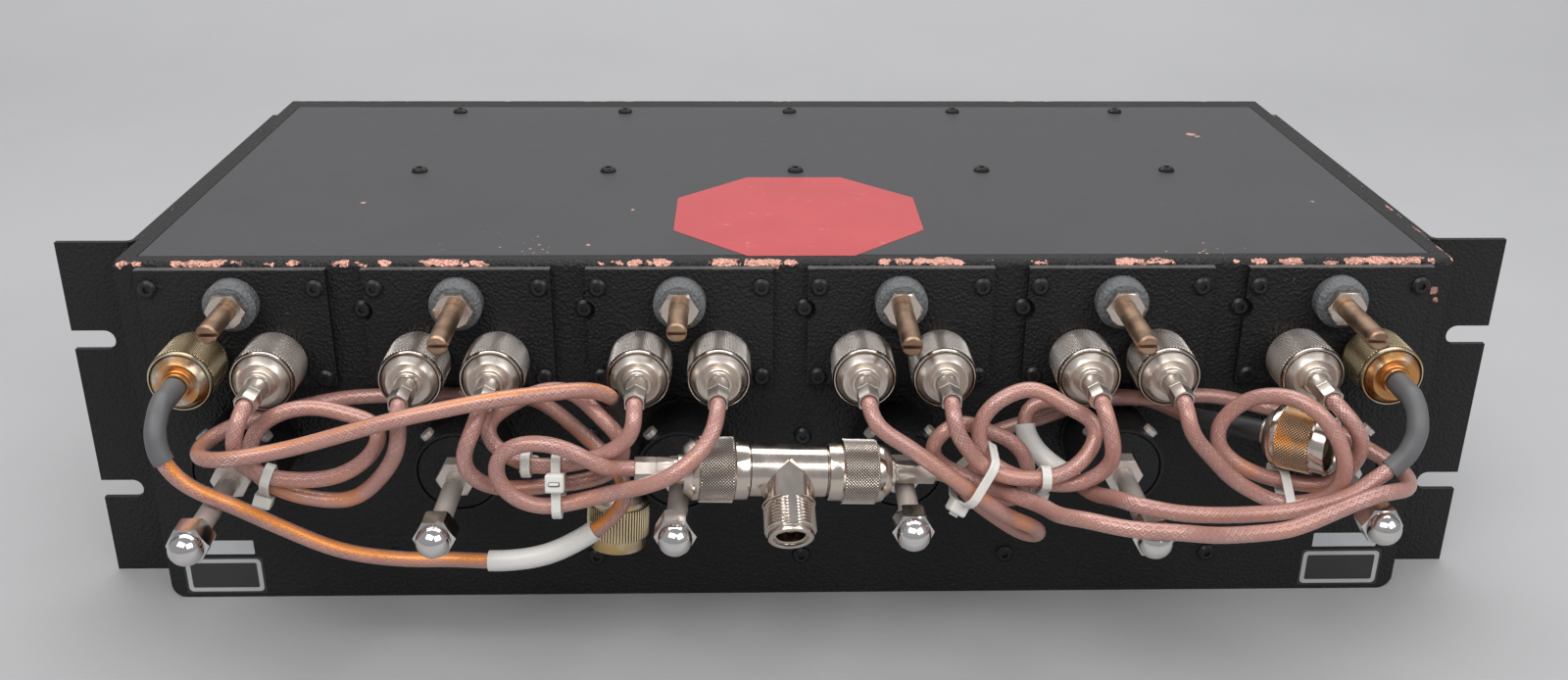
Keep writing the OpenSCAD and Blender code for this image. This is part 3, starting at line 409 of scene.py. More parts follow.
class Look:
    """A procedural material, with short calls for its nodes."""

    def __init__(self, name, color, rough, metal=0.0, **sockets):
        self.material = bpy.data.materials.new(name)
        self.material.use_nodes = True
        self.material.diffuse_color = (*color, 1)
        self.tree = self.material.node_tree
        self.shader = self.tree.nodes["Principled BSDF"]
        sockets.update(Base_Color=(*color, 1), Roughness=rough, Metallic=metal)
        for key, value in sockets.items():
            self.shader.inputs[key.replace("_", " ")].default_value = value

    def feed(self, socket, value):
        """Links a value to a socket, or sets a number or a colour on it."""
        if isinstance(value, Value):
            self.tree.links.new(value.socket, socket)
        else:
            socket.default_value = (*value, 1) if isinstance(value, tuple) else value

    def node(self, kind, inputs, **settings):
        """Adds a node and gives its outputs."""
        made = self.tree.nodes.new(kind)
        for key, value in settings.items():
            setattr(made, key, value)
        for key, value in inputs.items():
            self.feed(made.inputs[key], value)
        return [Value(self, output) for output in made.outputs]

    def link(self, **values):
        """Links values to the shader and gives the material."""
        for key, value in values.items():
            self.feed(self.shader.inputs[key.replace("_", " ")], value)
        return self.material

    def coords(self, kind="Object"):
        return Value(self, self.tree.nodes.new("ShaderNodeTexCoord").outputs[kind])

    def split(self, kind="Object"):
        return self.node("ShaderNodeSeparateXYZ", {0: self.coords(kind)})

    def math(self, operation, *values):
        return self.node("ShaderNodeMath", dict(enumerate(values)), operation=operation)[0]

    def noise(self, scale, detail, rough=0.5):
        return self.node("ShaderNodeTexNoise", {"Vector": self.coords(), "Scale": scale, "Detail": detail,
                                                "Roughness": rough})[0]

    def cells(self, scale):
        return self.node("ShaderNodeTexVoronoi", {"Vector": self.coords(), "Scale": scale})[0]

    def ramp(self, value, low, high, to_low=0.0, to_high=1.0):
        limits = {0: value, 1: low, 2: high, 3: to_low, 4: to_high}
        return self.node("ShaderNodeMapRange", limits, clamp=True)[0]

    def fall(self, value, low, high):
        """1 up to the low end, then down to 0 at the high end."""
        return self.ramp(value, low, high, 1.0, 0.0)

    def mix(self, factor, a, b):
        return self.node("ShaderNodeMix", {0: factor, 6: a, 7: b}, data_type="RGBA")[2]

    def bump(self, height, strength, reach):
        return self.node("ShaderNodeBump", {"Height": height, "Strength": strength, "Distance": reach})[0]


BARE_COPPER = (0.55, 0.29, 0.23)
# Stretches of the front edge that have lost their paint, as (middle, half length) along X
WORN = ((-211, 4), (-173, 24), (-136, 9), (-112, 5), (-98, 6), (-63, 8), (-46, 5), (-12, 14), (40, 4),
        (49, 3), (80, 4), (119, 15), (172, 38))
# Single chips, as (x, y, radius) on the cover and (x, z, radius) on the front
CHIPS = ((170.6, 149.4, 2.2), (172.5, 146, 1.2), (-66, 15.5, 0.7), (-54, 52, 0.6), (-150, 60, 0.8),
         (190, 60, 0.8))
FRONT_CHIPS = ((210, 114, 1.5), (211.5, 111, 0.9), (208, 118, 0.7))
# Clusters of specks near the front edge, as (x, y, radius)
CLUSTERS = ((-84, 14, 15), (136, 8, 16), (-118, 12, 8))


def edge_wear(look, reach):
    """Where the paint has chipped off: along the top edges of the case, in ragged patches."""
    x, y, z = look.split()
    front = abs(y - FRONT_Y * MM)
    # The back and the sides are worn less, other than the right side near its front corner
    back = abs((FRONT_Y + CASE_D) * MM - y) + 0.0012
    near_corner = look.ramp(x - y, 0.20, 0.27, 0.010, 0.0)
    side = abs(abs(x) - CASE_W / 2 * MM) * 1.8 + near_corner * 0.16
    away = smallest(front, back, side) + (CASE_H * MM - z)
    strength = look.noise(130, 5, 0.65) * 0.95 + look.noise(17, 2) * 0.5
    worn = largest(*(look.ramp(abs(x - middle * MM), half * 0.7 * MM, (half + 4) * MM, 0.16, 0.0)
                     for middle, half in WORN))
    strength = strength + look.fall(front, 0.004, 0.01) * (worn - 0.04)
    return look.ramp(strength - away * (0.15 / reach), 0.68, 0.695)


def speck_clusters(look):
    """Fine bare specks, gathered in a few clusters."""
    x, y, _ = look.split()
    dots = look.fall(look.cells(420) + look.noise(900, 2) * 0.3, 0.30, 0.36)
    near = largest(*(look.fall(distance(x - cx * MM, y - (cy + FRONT_Y) * MM), r * MM * 0.3, r * MM)
                     for cx, cy, r in CLUSTERS))
    rare = look.ramp(look.noise(160, 3) + near * 0.25, 0.66, 0.70)
    return dots * rare * look.ramp(near, 0.02, 0.1)


def single_chips(look, chips, upright):
    """A few ragged bare spots, on the front if upright and else on the cover."""
    x, y, z = look.split()
    v, v0 = (z, 0) if upright else (y, FRONT_Y)
    ragged = (look.noise(700, 4, 0.7) - 0.5) * 0.0035
    return largest(*(look.fall(distance(x - cx * MM, v - (cv + v0) * MM) + ragged, r * MM * 0.8, r * MM)
                     for cx, cv, r in chips))


def wrinkle_paint(name, color, rough, wear=False, rim_z=0):
    """Dusty wrinkled paint, worn along the edges of the case if asked, or pale on rims at one height."""
    look = Look(name, color, rough, Specular_IOR_Level=0.26)
    height = look.noise(1300, 3) * 0.5 + look.cells(850) * 0.9
    dust = look.ramp(look.noise(260, 6, 0.7), 0.66, 0.74)
    cloud = look.noise(18, 3)
    shade = look.mix(cloud, toned(color, 0.75), toned(color, 1.35))
    shade = look.mix(dust * 0.35, shade, (0.16, 0.15, 0.14))
    rougher = look.ramp(cloud, 0.3, 0.7, rough - 0.06, rough + 0.06)
    if wear:
        chip = largest(edge_wear(look, 0.0015), single_chips(look, FRONT_CHIPS, True))
        shade = look.mix(chip, shade, BARE_COPPER)
        look.link(Metallic=look.ramp(chip, 0, 1, 0.0, 0.85))
        rougher = look.mix(chip, rougher, (0.42, 0.42, 0.42))
        height = height - chip * 0.7
    if rim_z:
        off_rim = abs(look.split()[2] - rim_z * MM) + look.noise(60, 3) * 0.0006
        shade = look.mix(look.ramp(off_rim, 0.0003, 0.0007, 0.22, 0.0), shade, (0.40, 0.38, 0.36))
    return look.link(Base_Color=shade, Roughness=rougher, Normal=look.bump(height, 0.8, 0.0006))


def cover_paint():
    look = Look("cover_paint", (0.042, 0.042, 0.044), 0.42)
    waves = look.noise(30, 3)
    specks = look.fall(look.cells(240), 0.04, 0.09) * look.ramp(look.noise(55, 2), 0.58, 0.66)
    chip = largest(edge_wear(look, 0.0018), single_chips(look, CHIPS, False), speck_clusters(look))
    shade = look.mix(waves, (0.034, 0.034, 0.036), (0.052, 0.052, 0.054))
    shade = look.mix(specks * 0.6, shade, (0.30, 0.28, 0.26))
    shade = look.mix(chip * 0.9, shade, BARE_COPPER)
    return look.link(Base_Color=shade, Roughness=look.ramp(waves, 0.3, 0.7, 0.38, 0.47),
                     Normal=look.bump(look.noise(900, 4) * 0.5 + waves * 1.6, 0.28, 0.0006))


def plated(name, color, rough, stain=None, stain_amount=0.5, dirt=0.35, metal=1.0):
    """Warm dull plating: cloudy roughness, fine marks and darker grime, and a stain if asked."""
    look = Look(name, color, rough, metal)
    grime = look.ramp(look.noise(420, 5, 0.65), 0.52, 0.72, 0.0, dirt)
    shade = look.mix(grime, color, toned(color, 0.45))
    if stain:
        where = look.ramp(look.noise(120, 3), 0.62 - stain_amount * 0.4, 0.72 - stain_amount * 0.3)
        shade = look.mix(where, shade, stain)
    return look.link(Base_Color=shade,
                     Roughness=look.ramp(look.noise(160, 4, 0.6), 0.3, 0.7, rough - 0.07, rough + 0.1),
                     Normal=look.bump(look.noise(1400, 2), 0.08, 0.00008))


def knurled(name, lit_tip, shaded_groove, rough, stain=None):
    """A knurl: tips lightened as a painted highlight over grooves darkened as painted shade. U runs from the grooves
    to the tips.
    """
    look = Look(name, lit_tip, rough, 1.0)
    u = look.split("UV")[0]
    # Painted shade in the grooves, painted highlight on the tips
    shade = look.mix(look.ramp(u, 0.2, 0.7), shaded_groove, lit_tip)
    if stain:
        shade = look.mix(look.ramp(look.noise(140, 3), 0.44, 0.60, 0.0, 0.8), shade, stain)
    return look.link(Base_Color=shade, Roughness=look.ramp(u, 0.2, 0.8, rough + 0.15, rough))


JACKET = (0.42, 0.215, 0.185)


def braid_look(name, stain):
    """A clear, faintly pink jacket over a woven braid, with an orange stripe or patches of that stain.

    U runs round the cable. V is the length along it in millimetres, and places the stripe.
    """
    look = Look(name, JACKET, 0.3, 0.2, Coat_Weight=0.45, Coat_Roughness=0.16)
    u, v, _ = look.split("UV")
    around, along = u * (12 * math.pi), v * 2.17
    over = look.ramp(around.do("SINE") * along.do("SINE"), -0.15, 0.15)
    left, right = [(way * 2.0).do("SINE") for way in (around + along, around - along)]
    weave = left * over + right * (1.0 - over)
    strand = look.ramp(weave, -0.8, 0.9)
    glint = look.ramp(weave, 0.55, 0.95) * look.ramp(look.noise(190, 3), 0.46, 0.62)
    cloud = look.ramp(look.noise(45, 3), 0.35, 0.65)
    shade = look.mix(strand, toned(JACKET, 0.72), toned(JACKET, 1.12))
    shade = look.mix(glint * 0.45, shade, (0.84, 0.70, 0.66))
    shade = look.mix(cloud * 0.30, shade, (0.62, 0.30, 0.22))
    if stain == "stripe":
        off = abs(u - look.ramp(v, 325, 350, -0.07, 0.24))
        off = smallest(off, abs(1.0 - off))
        off = off + (look.ramp(v, 325, 350, 0.0, 0.02) + look.noise(420, 3) * 0.10)
        strong = look.fall(v, 170, 225)
        faint = look.ramp(look.noise(28, 2), 0.36, 0.60, 0.25, 0.75) * look.ramp(v, 330, 350)
        band = look.fall(off, 0.11, 0.16) * largest(strong, faint)
        band = band * look.ramp(glint, 0.0, 1.0, 1.0, 0.45)
    else:
        low = look.ramp(look.split()[2], 0.064, 0.076, 1.0, 0.15)
        band = low * look.ramp(look.noise(85, 3), 0.47, 0.64, 0.0, stain)
    return look.link(Base_Color=look.mix(band, shade, (0.70, 0.24, 0.04)),
                     Roughness=look.ramp(strand, 0, 1, 0.42, 0.22), Normal=look.bump(strand, 0.3, 0.0002))


def rubbery(name, color, rough, gloss=0.5):
    look = Look(name, color, rough, Specular_IOR_Level=gloss)
    cloud = look.noise(70, 4)
    return look.link(Base_Color=look.mix(cloud, toned(color, 0.75), toned(color, 1.25)),
                     Roughness=look.ramp(cloud, 0.3, 0.7, rough - 0.08, rough + 0.06),
                     Normal=look.bump(look.noise(900, 3), 0.2, 0.0003))


def milky(name, color, glow):
    look = Look(name, color, 0.32, Subsurface_Weight=glow, Subsurface_Radius=(0.003, 0.003, 0.003),
                Subsurface_Scale=1.0)
    return look.link(Base_Color=look.mix(look.noise(110, 3), toned(color, 0.88), color),
                     Normal=look.bump(look.noise(260, 2), 0.1, 0.0005))


def sticker_red():
    look = Look("sticker_red", (0.46, 0.06, 0.062), 0.38)
    cloud = look.noise(40, 4)
    scuff = look.ramp(look.noise(190, 7, 0.75), 0.62, 0.70)
    shade = look.mix(cloud, (0.42, 0.052, 0.056), (0.52, 0.075, 0.08))
    shade = look.mix(scuff * 0.45, shade, (0.80, 0.35, 0.33))
    return look.link(Base_Color=shade, Roughness=look.ramp(cloud, 0.3, 0.7, 0.32, 0.44),
                     Normal=look.bump(look.noise(60, 3) + look.noise(1200, 2), 0.12, 0.0004))


def paper(name, color, rough):
    look = Look(name, color, rough)
    return look.link(Base_Color=look.mix(look.noise(150, 5), toned(color, 0.85), toned(color, 1.1)),
                     Normal=look.bump(look.noise(700, 3), 0.1, 0.0003))


BLACK = (0.012, 0.012, 0.0125)
case_black = wrinkle_paint("case_black", BLACK, 0.47, wear=True)
plate_black = wrinkle_paint("plate_black", BLACK, 0.44, rim_z=PLATE_TOP)
boss_black = wrinkle_paint("boss_black", (0.011, 0.011, 0.0115), 0.42)
cover_grey = cover_paint()
screw_black = rubbery("screw_black", BLACK, 0.36, 0.35)
cap_grey = wrinkle_paint("cap_grey", (0.13, 0.135, 0.14), 0.45)
nickel = plated("nickel", (0.60, 0.53, 0.465), 0.17, dirt=0.12)
nickel_face = plated("nickel_face", (0.72, 0.65, 0.585), 0.32, dirt=0.06)
nickel_dull = plated("nickel_dull", (0.62, 0.56, 0.50), 0.34)
nickel_bright = plated("nickel_bright", (0.66, 0.64, 0.62), 0.11, dirt=0.1)
nickel_stained = plated("nickel_stained", (0.70, 0.63, 0.53), 0.30, (0.60, 0.30, 0.11), 0.75)
nickel_yellow = plated("nickel_yellow", (0.66, 0.58, 0.44), 0.34, (0.56, 0.39, 0.18))
# The knurls' tip colours are painted highlights and their groove colours painted shade
knurl_nickel = knurled("knurl_nickel", (0.95, 0.89, 0.82), (0.10, 0.07, 0.055), 0.22)
knurl_yellow = knurled("knurl_yellow", (0.88, 0.73, 0.47), (0.11, 0.07, 0.035), 0.24)
knurl_orange = knurled("knurl_orange", (0.88, 0.70, 0.51), (0.16, 0.08, 0.04), 0.26, (0.66, 0.33, 0.10))
bright_steel = plated("bright_steel", (0.62, 0.56, 0.51), 0.33, dirt=0.05, metal=0.6)
brass = plated("brass", (0.46, 0.31, 0.21), 0.42, (0.30, 0.19, 0.13), 0.4)
copper = plated("copper", (0.70, 0.36, 0.24), 0.35)
cable_pink = braid_look("cable_pink", 0.45)
cable_plain = braid_look("cable_plain", 0.08)
cable_orange = braid_look("cable_orange", "stripe")
shrink_grey = rubbery("shrink_grey", (0.105, 0.105, 0.108), 0.50)
shrink_black = rubbery("shrink_black", (0.022, 0.022, 0.023), 0.5)
sleeve_white = milky("sleeve_white", (0.74, 0.72, 0.68), 0.25)
tie_white = milky("tie_white", (0.72, 0.71, 0.66), 0.35)
red = sticker_red()
white_print = paper("white_print", (0.46, 0.46, 0.45), 0.6)
label_black = paper("label_black", (0.03, 0.03, 0.03), 0.4)
strip_silver = paper("strip_silver", (0.50, 0.51, 0.52), 0.38)


# Cables

BLENDS, LINE_STEP, RELAX_ROUNDS = 10, 1.4, 14
PAST_MOUTH, STRAIGHT = 0.3, 1.8


def smoothed(points):
    """An even, soft line through a route: blended between its points, then relaxed like a real cable."""
    pts = [at(*p) for p in points]
    full = [2 * pts[0] - pts[1]] + pts + [2 * pts[-1] - pts[-2]]
    dense = []
    for a, b, c, d in zip(full, full[1:], full[2:], full[3:]):
        for k in range(BLENDS):
            t = k / BLENDS
            dense.append(0.5 * (2 * b + (c - a) * t + (2 * a - 5 * b + 4 * c - d) * t * t
                                + (3 * b - a - 3 * c + d) * t ** 3))
    dense.append(pts[-1])
    even, left = [dense[0]], LINE_STEP * MM
    for a, b in zip(dense, dense[1:]):
        gap = (b - a).length
        while gap >= left:
            a = a.lerp(b, left / gap)
            even.append(a)
            gap = (b - a).length
            left = LINE_STEP * MM
        left -= gap
    even[-1] = dense[-1]
    for _ in range(RELAX_ROUNDS):
        even = even[:3] + [even[i - 1] * 0.25 + even[i] * 0.5 + even[i + 1] * 0.25
                           for i in range(3, len(even) - 3)] + even[-3:]
    return even


def line_length(line):
    return sum((b - a).length for a, b in zip(line, line[1:]))


def stretch(line, start, end):
    """The part of a line between two lengths along it, in millimetres."""
    out, run = [], 0.0
    for i, p in enumerate(line):
        if i:
            run += (p - line[i - 1]).length / MM
        if start <= run <= end:
            out.append(p)
    return out


def off_jack(i, *ys):
    """Points on a jack's axis, at distances from the case front."""
    return [(jack_x(i), -y, JACK_Z) for y in ys]


def from_jack(i):
    mouth_y = FERRULE_Y + PAST_MOUTH
    return off_jack(i, FERRULE_Y - 5, mouth_y, mouth_y + STRAIGHT)


def behind_jack(i):
    return off_jack(i, CABLE_Y, CABLE_Y + STRAIGHT)


TEE_AXIS = turned(TEE_TURN) @ Vector((1, 0, 0))


def on_tee(s):
    return tuple(Vector(TEE_POS) + s * TEE_AXIS)


def on_plug(pos, turn, *ys):
    """Points on a free plug's axis, at the distances they would have from the case front on a jack."""
    return [tuple(Vector(pos) + (y - NUT_Y0) * (turned(turn) @ Vector((0, 0, 1)))) for y in ys]


def into_plug(pos, turn):
    return on_plug(pos, turn, CABLE_Y + STRAIGHT, CABLE_Y)


# Routes in millimetres. A jumper goes from one jack to another
JUMPERS = {
    "jumper_cable_1": (2, 3, [
        (-166, -45, 91.5), (-168, -47, 85), (-168, -44, 76), (-162, -42, 71), (-151, -41.5, 69),
        (-138, -41.5, 71), (-128, -39, 78), (-127, -36, 85), (-136, -33, 87), (-148, -32, 89.5),
        (-160, -33, 87), (-167, -34, 80), (-168, -36, 71), (-161, -37, 64), (-149, -37, 60),
        (-136, -38.5, 61), (-123, -43.5, 75), (-118.5, -46.5, 87)]),
    "jumper_cable_2": (5, 4, [
        (-48, -45.5, 91.5), (-49, -47, 86), (-59, -46, 79), (-70, -45.5, 76), (-80, -44, 75),
        (-89, -40.5, 77.5), (-94, -37, 81), (-94.5, -34.5, 85), (-90, -33, 88.3), (-84, -31.5, 91.5),
        (-77, -30.5, 94), (-68, -31, 94), (-59, -36.5, 87.5), (-52, -38.5, 80), (-54, -40, 72),
        (-64, -40, 67.5), (-77, -40.5, 66), (-87, -43, 66.5), (-96, -47, 71), (-100, -48.5, 79),
        (-97, -48, 87)]),
    "jumper_cable_3": (8, 9, [
        (48.3, -45.5, 91.5), (49.5, -47, 86), (54, -46, 80), (58, -45, 74), (65, -45, 71),
        (72, -44.5, 69.5), (83, -43, 70), (90, -41, 74), (94.5, -37.5, 80), (94, -34.5, 85),
        (88, -34, 87.5), (82, -32.5, 91), (75, -31, 94.5), (68, -32, 93), (61, -33, 88.5),
        (57.5, -34.5, 81), (60, -37, 73.5), (67, -38.5, 68.5), (77, -39, 65.5), (89, -41.5, 66),
        (98, -44, 74), (97, -46.5, 84)]),
    "jumper_cable_4": (10, 11, [
        (119.5, -45.5, 91.5), (121, -47, 86), (130, -44, 75.5), (137, -43, 68), (145, -42.5, 63),
        (152, -42.5, 59.5), (160, -44.5, 60.5), (167, -48.5, 66), (168.5, -50.5, 75), (166, -50.5, 83),
        (162, -50, 90), (156, -47, 95.5), (150, -42, 96.5), (143, -37, 94), (138, -34, 89),
        (133.5, -33, 82), (134, -34, 75), (141, -36, 69), (151, -36.5, 65), (160, -37.5, 63.6),
        (168.5, -42, 65.5), (173.5, -44, 74), (174.5, -46, 82), (169.5, -46.5, 90)]),
}
TEE_LEFT = from_jack(6) + [
    (-23, -46, 92.5), (-25, -52, 88), (-30, -56.5, 83.5), (-36, -59, 79.5), (-44, -57, 75),
    (-56, -51, 69), (-67, -49, 65), (-77, -50, 64), (-86, -51.5, 69), (-90, -51.5, 77),
    (-87, -51.5, 84), (-79, -52, 87), (-70, -52.5, 86), (-62, -53, 82), (-57, -51, 77.5)
] + [on_tee(-s) for s in (50.5, 46, 41.5)]
TEE_RIGHT = from_jack(7) + [
    (23.5, -45.5, 91.5), (26, -47, 88), (33, -48, 84), (41, -48.5, 78), (49, -48, 71.5),
    (57, -47, 65), (65, -44, 57.5), (73, -41, 52), (78.5, -39, 48.5), (80, -36.5, 44.5),
    (75, -34, 43.5), (67, -34, 49), (59, -36, 56), (54.5, -37, 61.5)
] + [on_tee(s) for s in (51, 46.5, 41.5)]
TX_LINE = behind_jack(1) + [
    (-190.6, -44, 92), (-190.5, -48.5, 85), (-186, -49.5, 75), (-179, -49, 69), (-171.5, -48.5, 65),
    (-158, -43, 53), (-142, -40, 43), (-124, -38, 38.5), (-108, -38, 38.3), (-98, -38.6, 38),
    (-88, -39, 38.4), (-76, -39, 41), (-62, -38.5, 49), (-53, -37, 57), (-53, -33, 64), (-58, -28, 69),
    (-66, -19, 72), (-74, -11, 75), (-84, -5, 79), (-98, -4, 80), (-134, -4.5, 80), (-150, -8, 80),
    (-172, -22.5, 80), (-181, -30, 78), (-181.5, -41.5, 78), (-170.5, -51.5, 81.5), (-150, -51, 85),
    (-119, -52, 94.5), (-104, -51, 97.5), (-90, -50, 100), (-76, -47, 100.5), (-65, -42, 99.5),
    (-57, -36, 95.5), (-53.5, -30, 86.5), (-54.5, -23, 76)
] + into_plug(TX_PLUG_POS, TX_PLUG_TURN)
RX_LINE = behind_jack(12) + [
    (190.5, -44.5, 91.5), (189.5, -48.5, 84), (184.5, -50, 77), (177, -51, 72.2), (170, -54.8, 69),
    (153.3, -56, 64.7), (138, -59, 65), (124, -63, 67.2), (113, -65.3, 69.3), (106.5, -65.5, 70.9),
    (100.3, -64, 71.7), (98.5, -57.5, 69.4), (96.6, -50, 66.4), (95.4, -43.5, 63), (92.6, -37, 61.6),
    (90.3, -29, 61.4), (87.6, -23, 60.7), (82.3, -19, 63.4), (78.9, -17, 66.7), (76.7, -15, 70.4),
    (75.9, -13, 73.7), (77.4, -11.5, 77.6), (81, -11, 80.2), (94, -11, 80.2), (108, -10.5, 80.8),
    (119.5, -10, 80.2), (130, -8, 80.2), (140, -6.5, 79.5), (149, -7.5, 78), (156, -12, 77.7),
    (163, -17.5, 78.4), (169, -22.5, 78.2), (174, -28, 77), (180, -31.5, 74.4), (186, -36, 71.8),
    (191, -42.5, 70), (189, -51, 69), (180, -57.3, 71.5), (168, -61.6, 70.2), (150, -65, 63.8),
    (139, -67.5, 63.6), (127.7, -71, 65), (120, -74.5, 67.2), (112, -79, 70.7), (104.3, -80, 71.8),
    (97, -79, 71.8), (90, -76.5, 72), (84, -72, 71.3), (78.5, -63, 67.5), (75, -50, 64), (62, -37, 62.5),
    (56, -31, 63), (49, -29, 65.5), (44, -30, 71), (46, -31.5, 78.5), (54, -29, 82), (61.2, -28, 78),
    (69.3, -27, 74.5), (74.2, -28, 69.7), (76, -28, 63.7), (76.5, -24, 55.3), (74, -18, 47),
    (66, -15, 47.5), (60, -12.5, 56), (61, -7.5, 62), (68.6, -5, 66), (81.5, -4.6, 70), (89, -4.6, 72.7),
    (97, -4.6, 76.4), (105.5, -4.6, 78.6), (114, -4.6, 78.4), (121, -4.6, 77), (126, -6, 75),
    (131, -11, 74.3), (136, -18, 76)
] + into_plug(RX_PLUG_POS, RX_PLUG_TURN)


def cable(node, line, look):
    shape = Shape()
    shape.tube(line, CABLE_R)
    return shape.piece(node + "_braided", [look], "cable_braid", node)


for node, (first, last, points) in JUMPERS.items():
    cable(node, smoothed(from_jack(first) + points + from_jack(last)[::-1]), cable_pink)
cable("tee_lead_left", smoothed(TEE_LEFT), cable_pink)
cable("tee_lead_right", smoothed(TEE_RIGHT), cable_pink)
tx_line, rx_line = smoothed(TX_LINE), smoothed(RX_LINE)
tx_cable = cable("tx_pigtail", tx_line, cable_orange)
rx_cable = cable("rx_pigtail", rx_line, cable_plain)


# Sleeves

SLEEVE_STEPS, ON_FERRULE = (COLLAR_Y + 0.3, COLLAR_Y + 3, COLLAR_Y + 6), 8.5
SHRUNK_R, SHRUNK_BORE, SWELL = 3.18, 3.06, 0.36
SWELL_END, SWELL_FADE = 11, 1.5


def shrunk(shape, line, ferrule_first, slot=0):
    """A sleeve shrunk over a cable and, wider, over the ferrule that it starts or ends on."""
    total = line_length(line) / MM

    def radius(run, k):
        s = run if ferrule_first else total - run
        grip = 1 / (1 + math.exp((s - SWELL_END) / SWELL_FADE))
        wave = 0.05 * math.sin(s * 0.9 + k * 0.4) + 0.04 * math.sin(s * 0.37 + k * 0.8)
        return SHRUNK_R + SWELL * grip + wave
    shape.tube(line, radius, sides=20, bore=SHRUNK_BORE, slot=slot)


def length_at(line, place):
    """How far along a line it passes nearest to a place, in millimetres."""
    near = min(range(len(line)), key=lambda i: (line[i] - at(*place)).length)
    return line_length(line[:near + 1]) / MM


# Lengths of the shrunk sleeves at the jack and at the plug, and the ends of the clear sleeve
TX_SLEEVES = 31, 43, ((-98, -38.6, 38), (-62, -38.5, 49))
RX_SLEEVES = 38, 26, ((90.3, -29, 61.4), (75.9, -13, 73.7))


def sleeves(tag, line, jack, plug_axis, jack_length, plug_length, clear_ends):
    """The shrunk sleeves at both ends of a pigtail, and the clear one that is loose on it."""
    total = line_length(line) / MM
    at_jack = [at(*p) for p in off_jack(jack, *SLEEVE_STEPS)] + stretch(line, 0, jack_length - ON_FERRULE)
    at_plug = (stretch(line, total - plug_length + ON_FERRULE, total)
               + [at(*p) for p in on_plug(*plug_axis, *SLEEVE_STEPS[::-1])])
    grips, clear = Shape(), Shape()
    shrunk(grips, at_jack, True)
    shrunk(grips, at_plug, False, 1)
    clear.tube(stretch(line, *(length_at(line, place) for place in clear_ends)), CLEAR_R, sides=24,
               bore=CABLE_R + 0.15)
    made = grips.piece(tag + "_shrunk_sleeves", [shrink_grey, shrink_black], "shrink_sleeve", "shrink_sleeves")
    return [made, clear.piece(tag + "_loose_sleeve", [sleeve_white], "clear_sleeve", "clear_sleeves")]


tx_sleeves = sleeves("tx", tx_line, 1, (TX_PLUG_POS, TX_PLUG_TURN), *TX_SLEEVES)
rx_sleeves = sleeves("rx", rx_line, 12, (RX_PLUG_POS, RX_PLUG_TURN), *RX_SLEEVES)


# Connectors

KNURL_COLUMNS, KNURL_PITCH, KNURL_DEPTH = 126, 0.5, 0.32
LATHE_COLUMNS = 66
# Coupling nuts, as ((start, end) of the knurl, radius of the land, radius of the rear ring)
JACK_NUT = ((7.6, 22.1), NUT_R - 0.35, NUT_R - 0.1)
LONG_NUT = ((10.6, 21.1), 9.3, 9.75)


def knurl_band(shape, place, start, stop, straight, slot):
    """Rows of small pyramids with crossing grooves between them, or straight ridges."""
    rows = 3 if straight else round((stop - start) / KNURL_PITCH)
    first, n = len(shape.verts), KNURL_COLUMNS
    for i in range(rows + 1):
        z = start + (stop - start) * i / rows
        for k, (c, s) in enumerate(circle(n)):
            low = (k + (0 if straight else i)) % 2
            r = NUT_R - KNURL_DEPTH * low * (1 if 0 < i < rows else 0.6)
            shape.verts.append(place @ Vector((r * c, r * s, z)))
    for i in range(rows):
        for k in range(n):
            a, b = first + i * n + k, first + i * n + (k + 1) % n
            c, d = b + n, a + n
            low = (k + (0 if straight else i)) % 2
            high = {a: 1 - low, b: low, c: low if straight else 1 - low, d: 1 - low if straight else low}
            for corners in (((a, b, c), (a, c, d)) if low else ((a, b, d), (b, c, d))):
                shape.face(corners, [(high[v], 0.5) for v in corners], slot, True)


def knurled_nut(shape, place, form, slots=(0, 1), straight=False):
    """A coupling nut: a bored front end, a plain land, a knurled grip and a rear ring."""
    knurl, land, ring = form
    bore, shoulder = THREAD_R + 0.05, NUT_R - 0.28
    front = [(bore, 14), (bore, NUT_Y0 + 0.6), (bore + 0.5, NUT_Y0), (land - 0.5, NUT_Y0),
             (land - 0.12, NUT_Y0 + 0.12), (land, NUT_Y0 + 0.5), (land, knurl[0] - 0.5), (shoulder, knurl[0])]
    rim = [(shoulder, knurl[1]), (ring - 0.25, knurl[1] + 0.2), (ring - 0.1, knurl[1] + 0.35),
           (ring - 0.1, NUT_Y1 - 0.55), (ring - 0.3, NUT_Y1 - 0.25), (ring - 0.42, NUT_Y1),
           (NUT_BORE + 0.08, NUT_Y1), (NUT_BORE, NUT_Y1 - 0.2), (NUT_BORE, NUT_Y1 - 3.0)]
    shape.lathe(front, place, LATHE_COLUMNS, slots[0])
    knurl_band(shape, place, *knurl, straight, slots[1])
    shape.lathe(rim, place, LATHE_COLUMNS, slots[0])


def plug_back(shape, place, slot=0):
    """The rear of a plug: a bright conical chamfer, a dished face and a raised collar."""
    r = NUT_BORE - 0.3
    profile = [(r - 0.1, NUT_Y1 - 3), (r, NUT_Y1 - 0.4), (r - 0.08, NUT_Y1 - 0.05), (7.1, REAR_Y - 0.35),
               (7.0, REAR_Y - 0.25), (6.9, REAR_Y - 0.25), (6.3, REAR_Y - 0.33), (5.3, REAR_Y - 0.6),
               (4.7, REAR_Y - 0.7), (4.5, REAR_Y - 0.55), (4.42, REAR_Y + 0.1),
               (4.4, COLLAR_Y - 0.3), (4.2, COLLAR_Y), (3.4, COLLAR_Y)]
    shape.lathe(profile, place, LATHE_COLUMNS, slot)


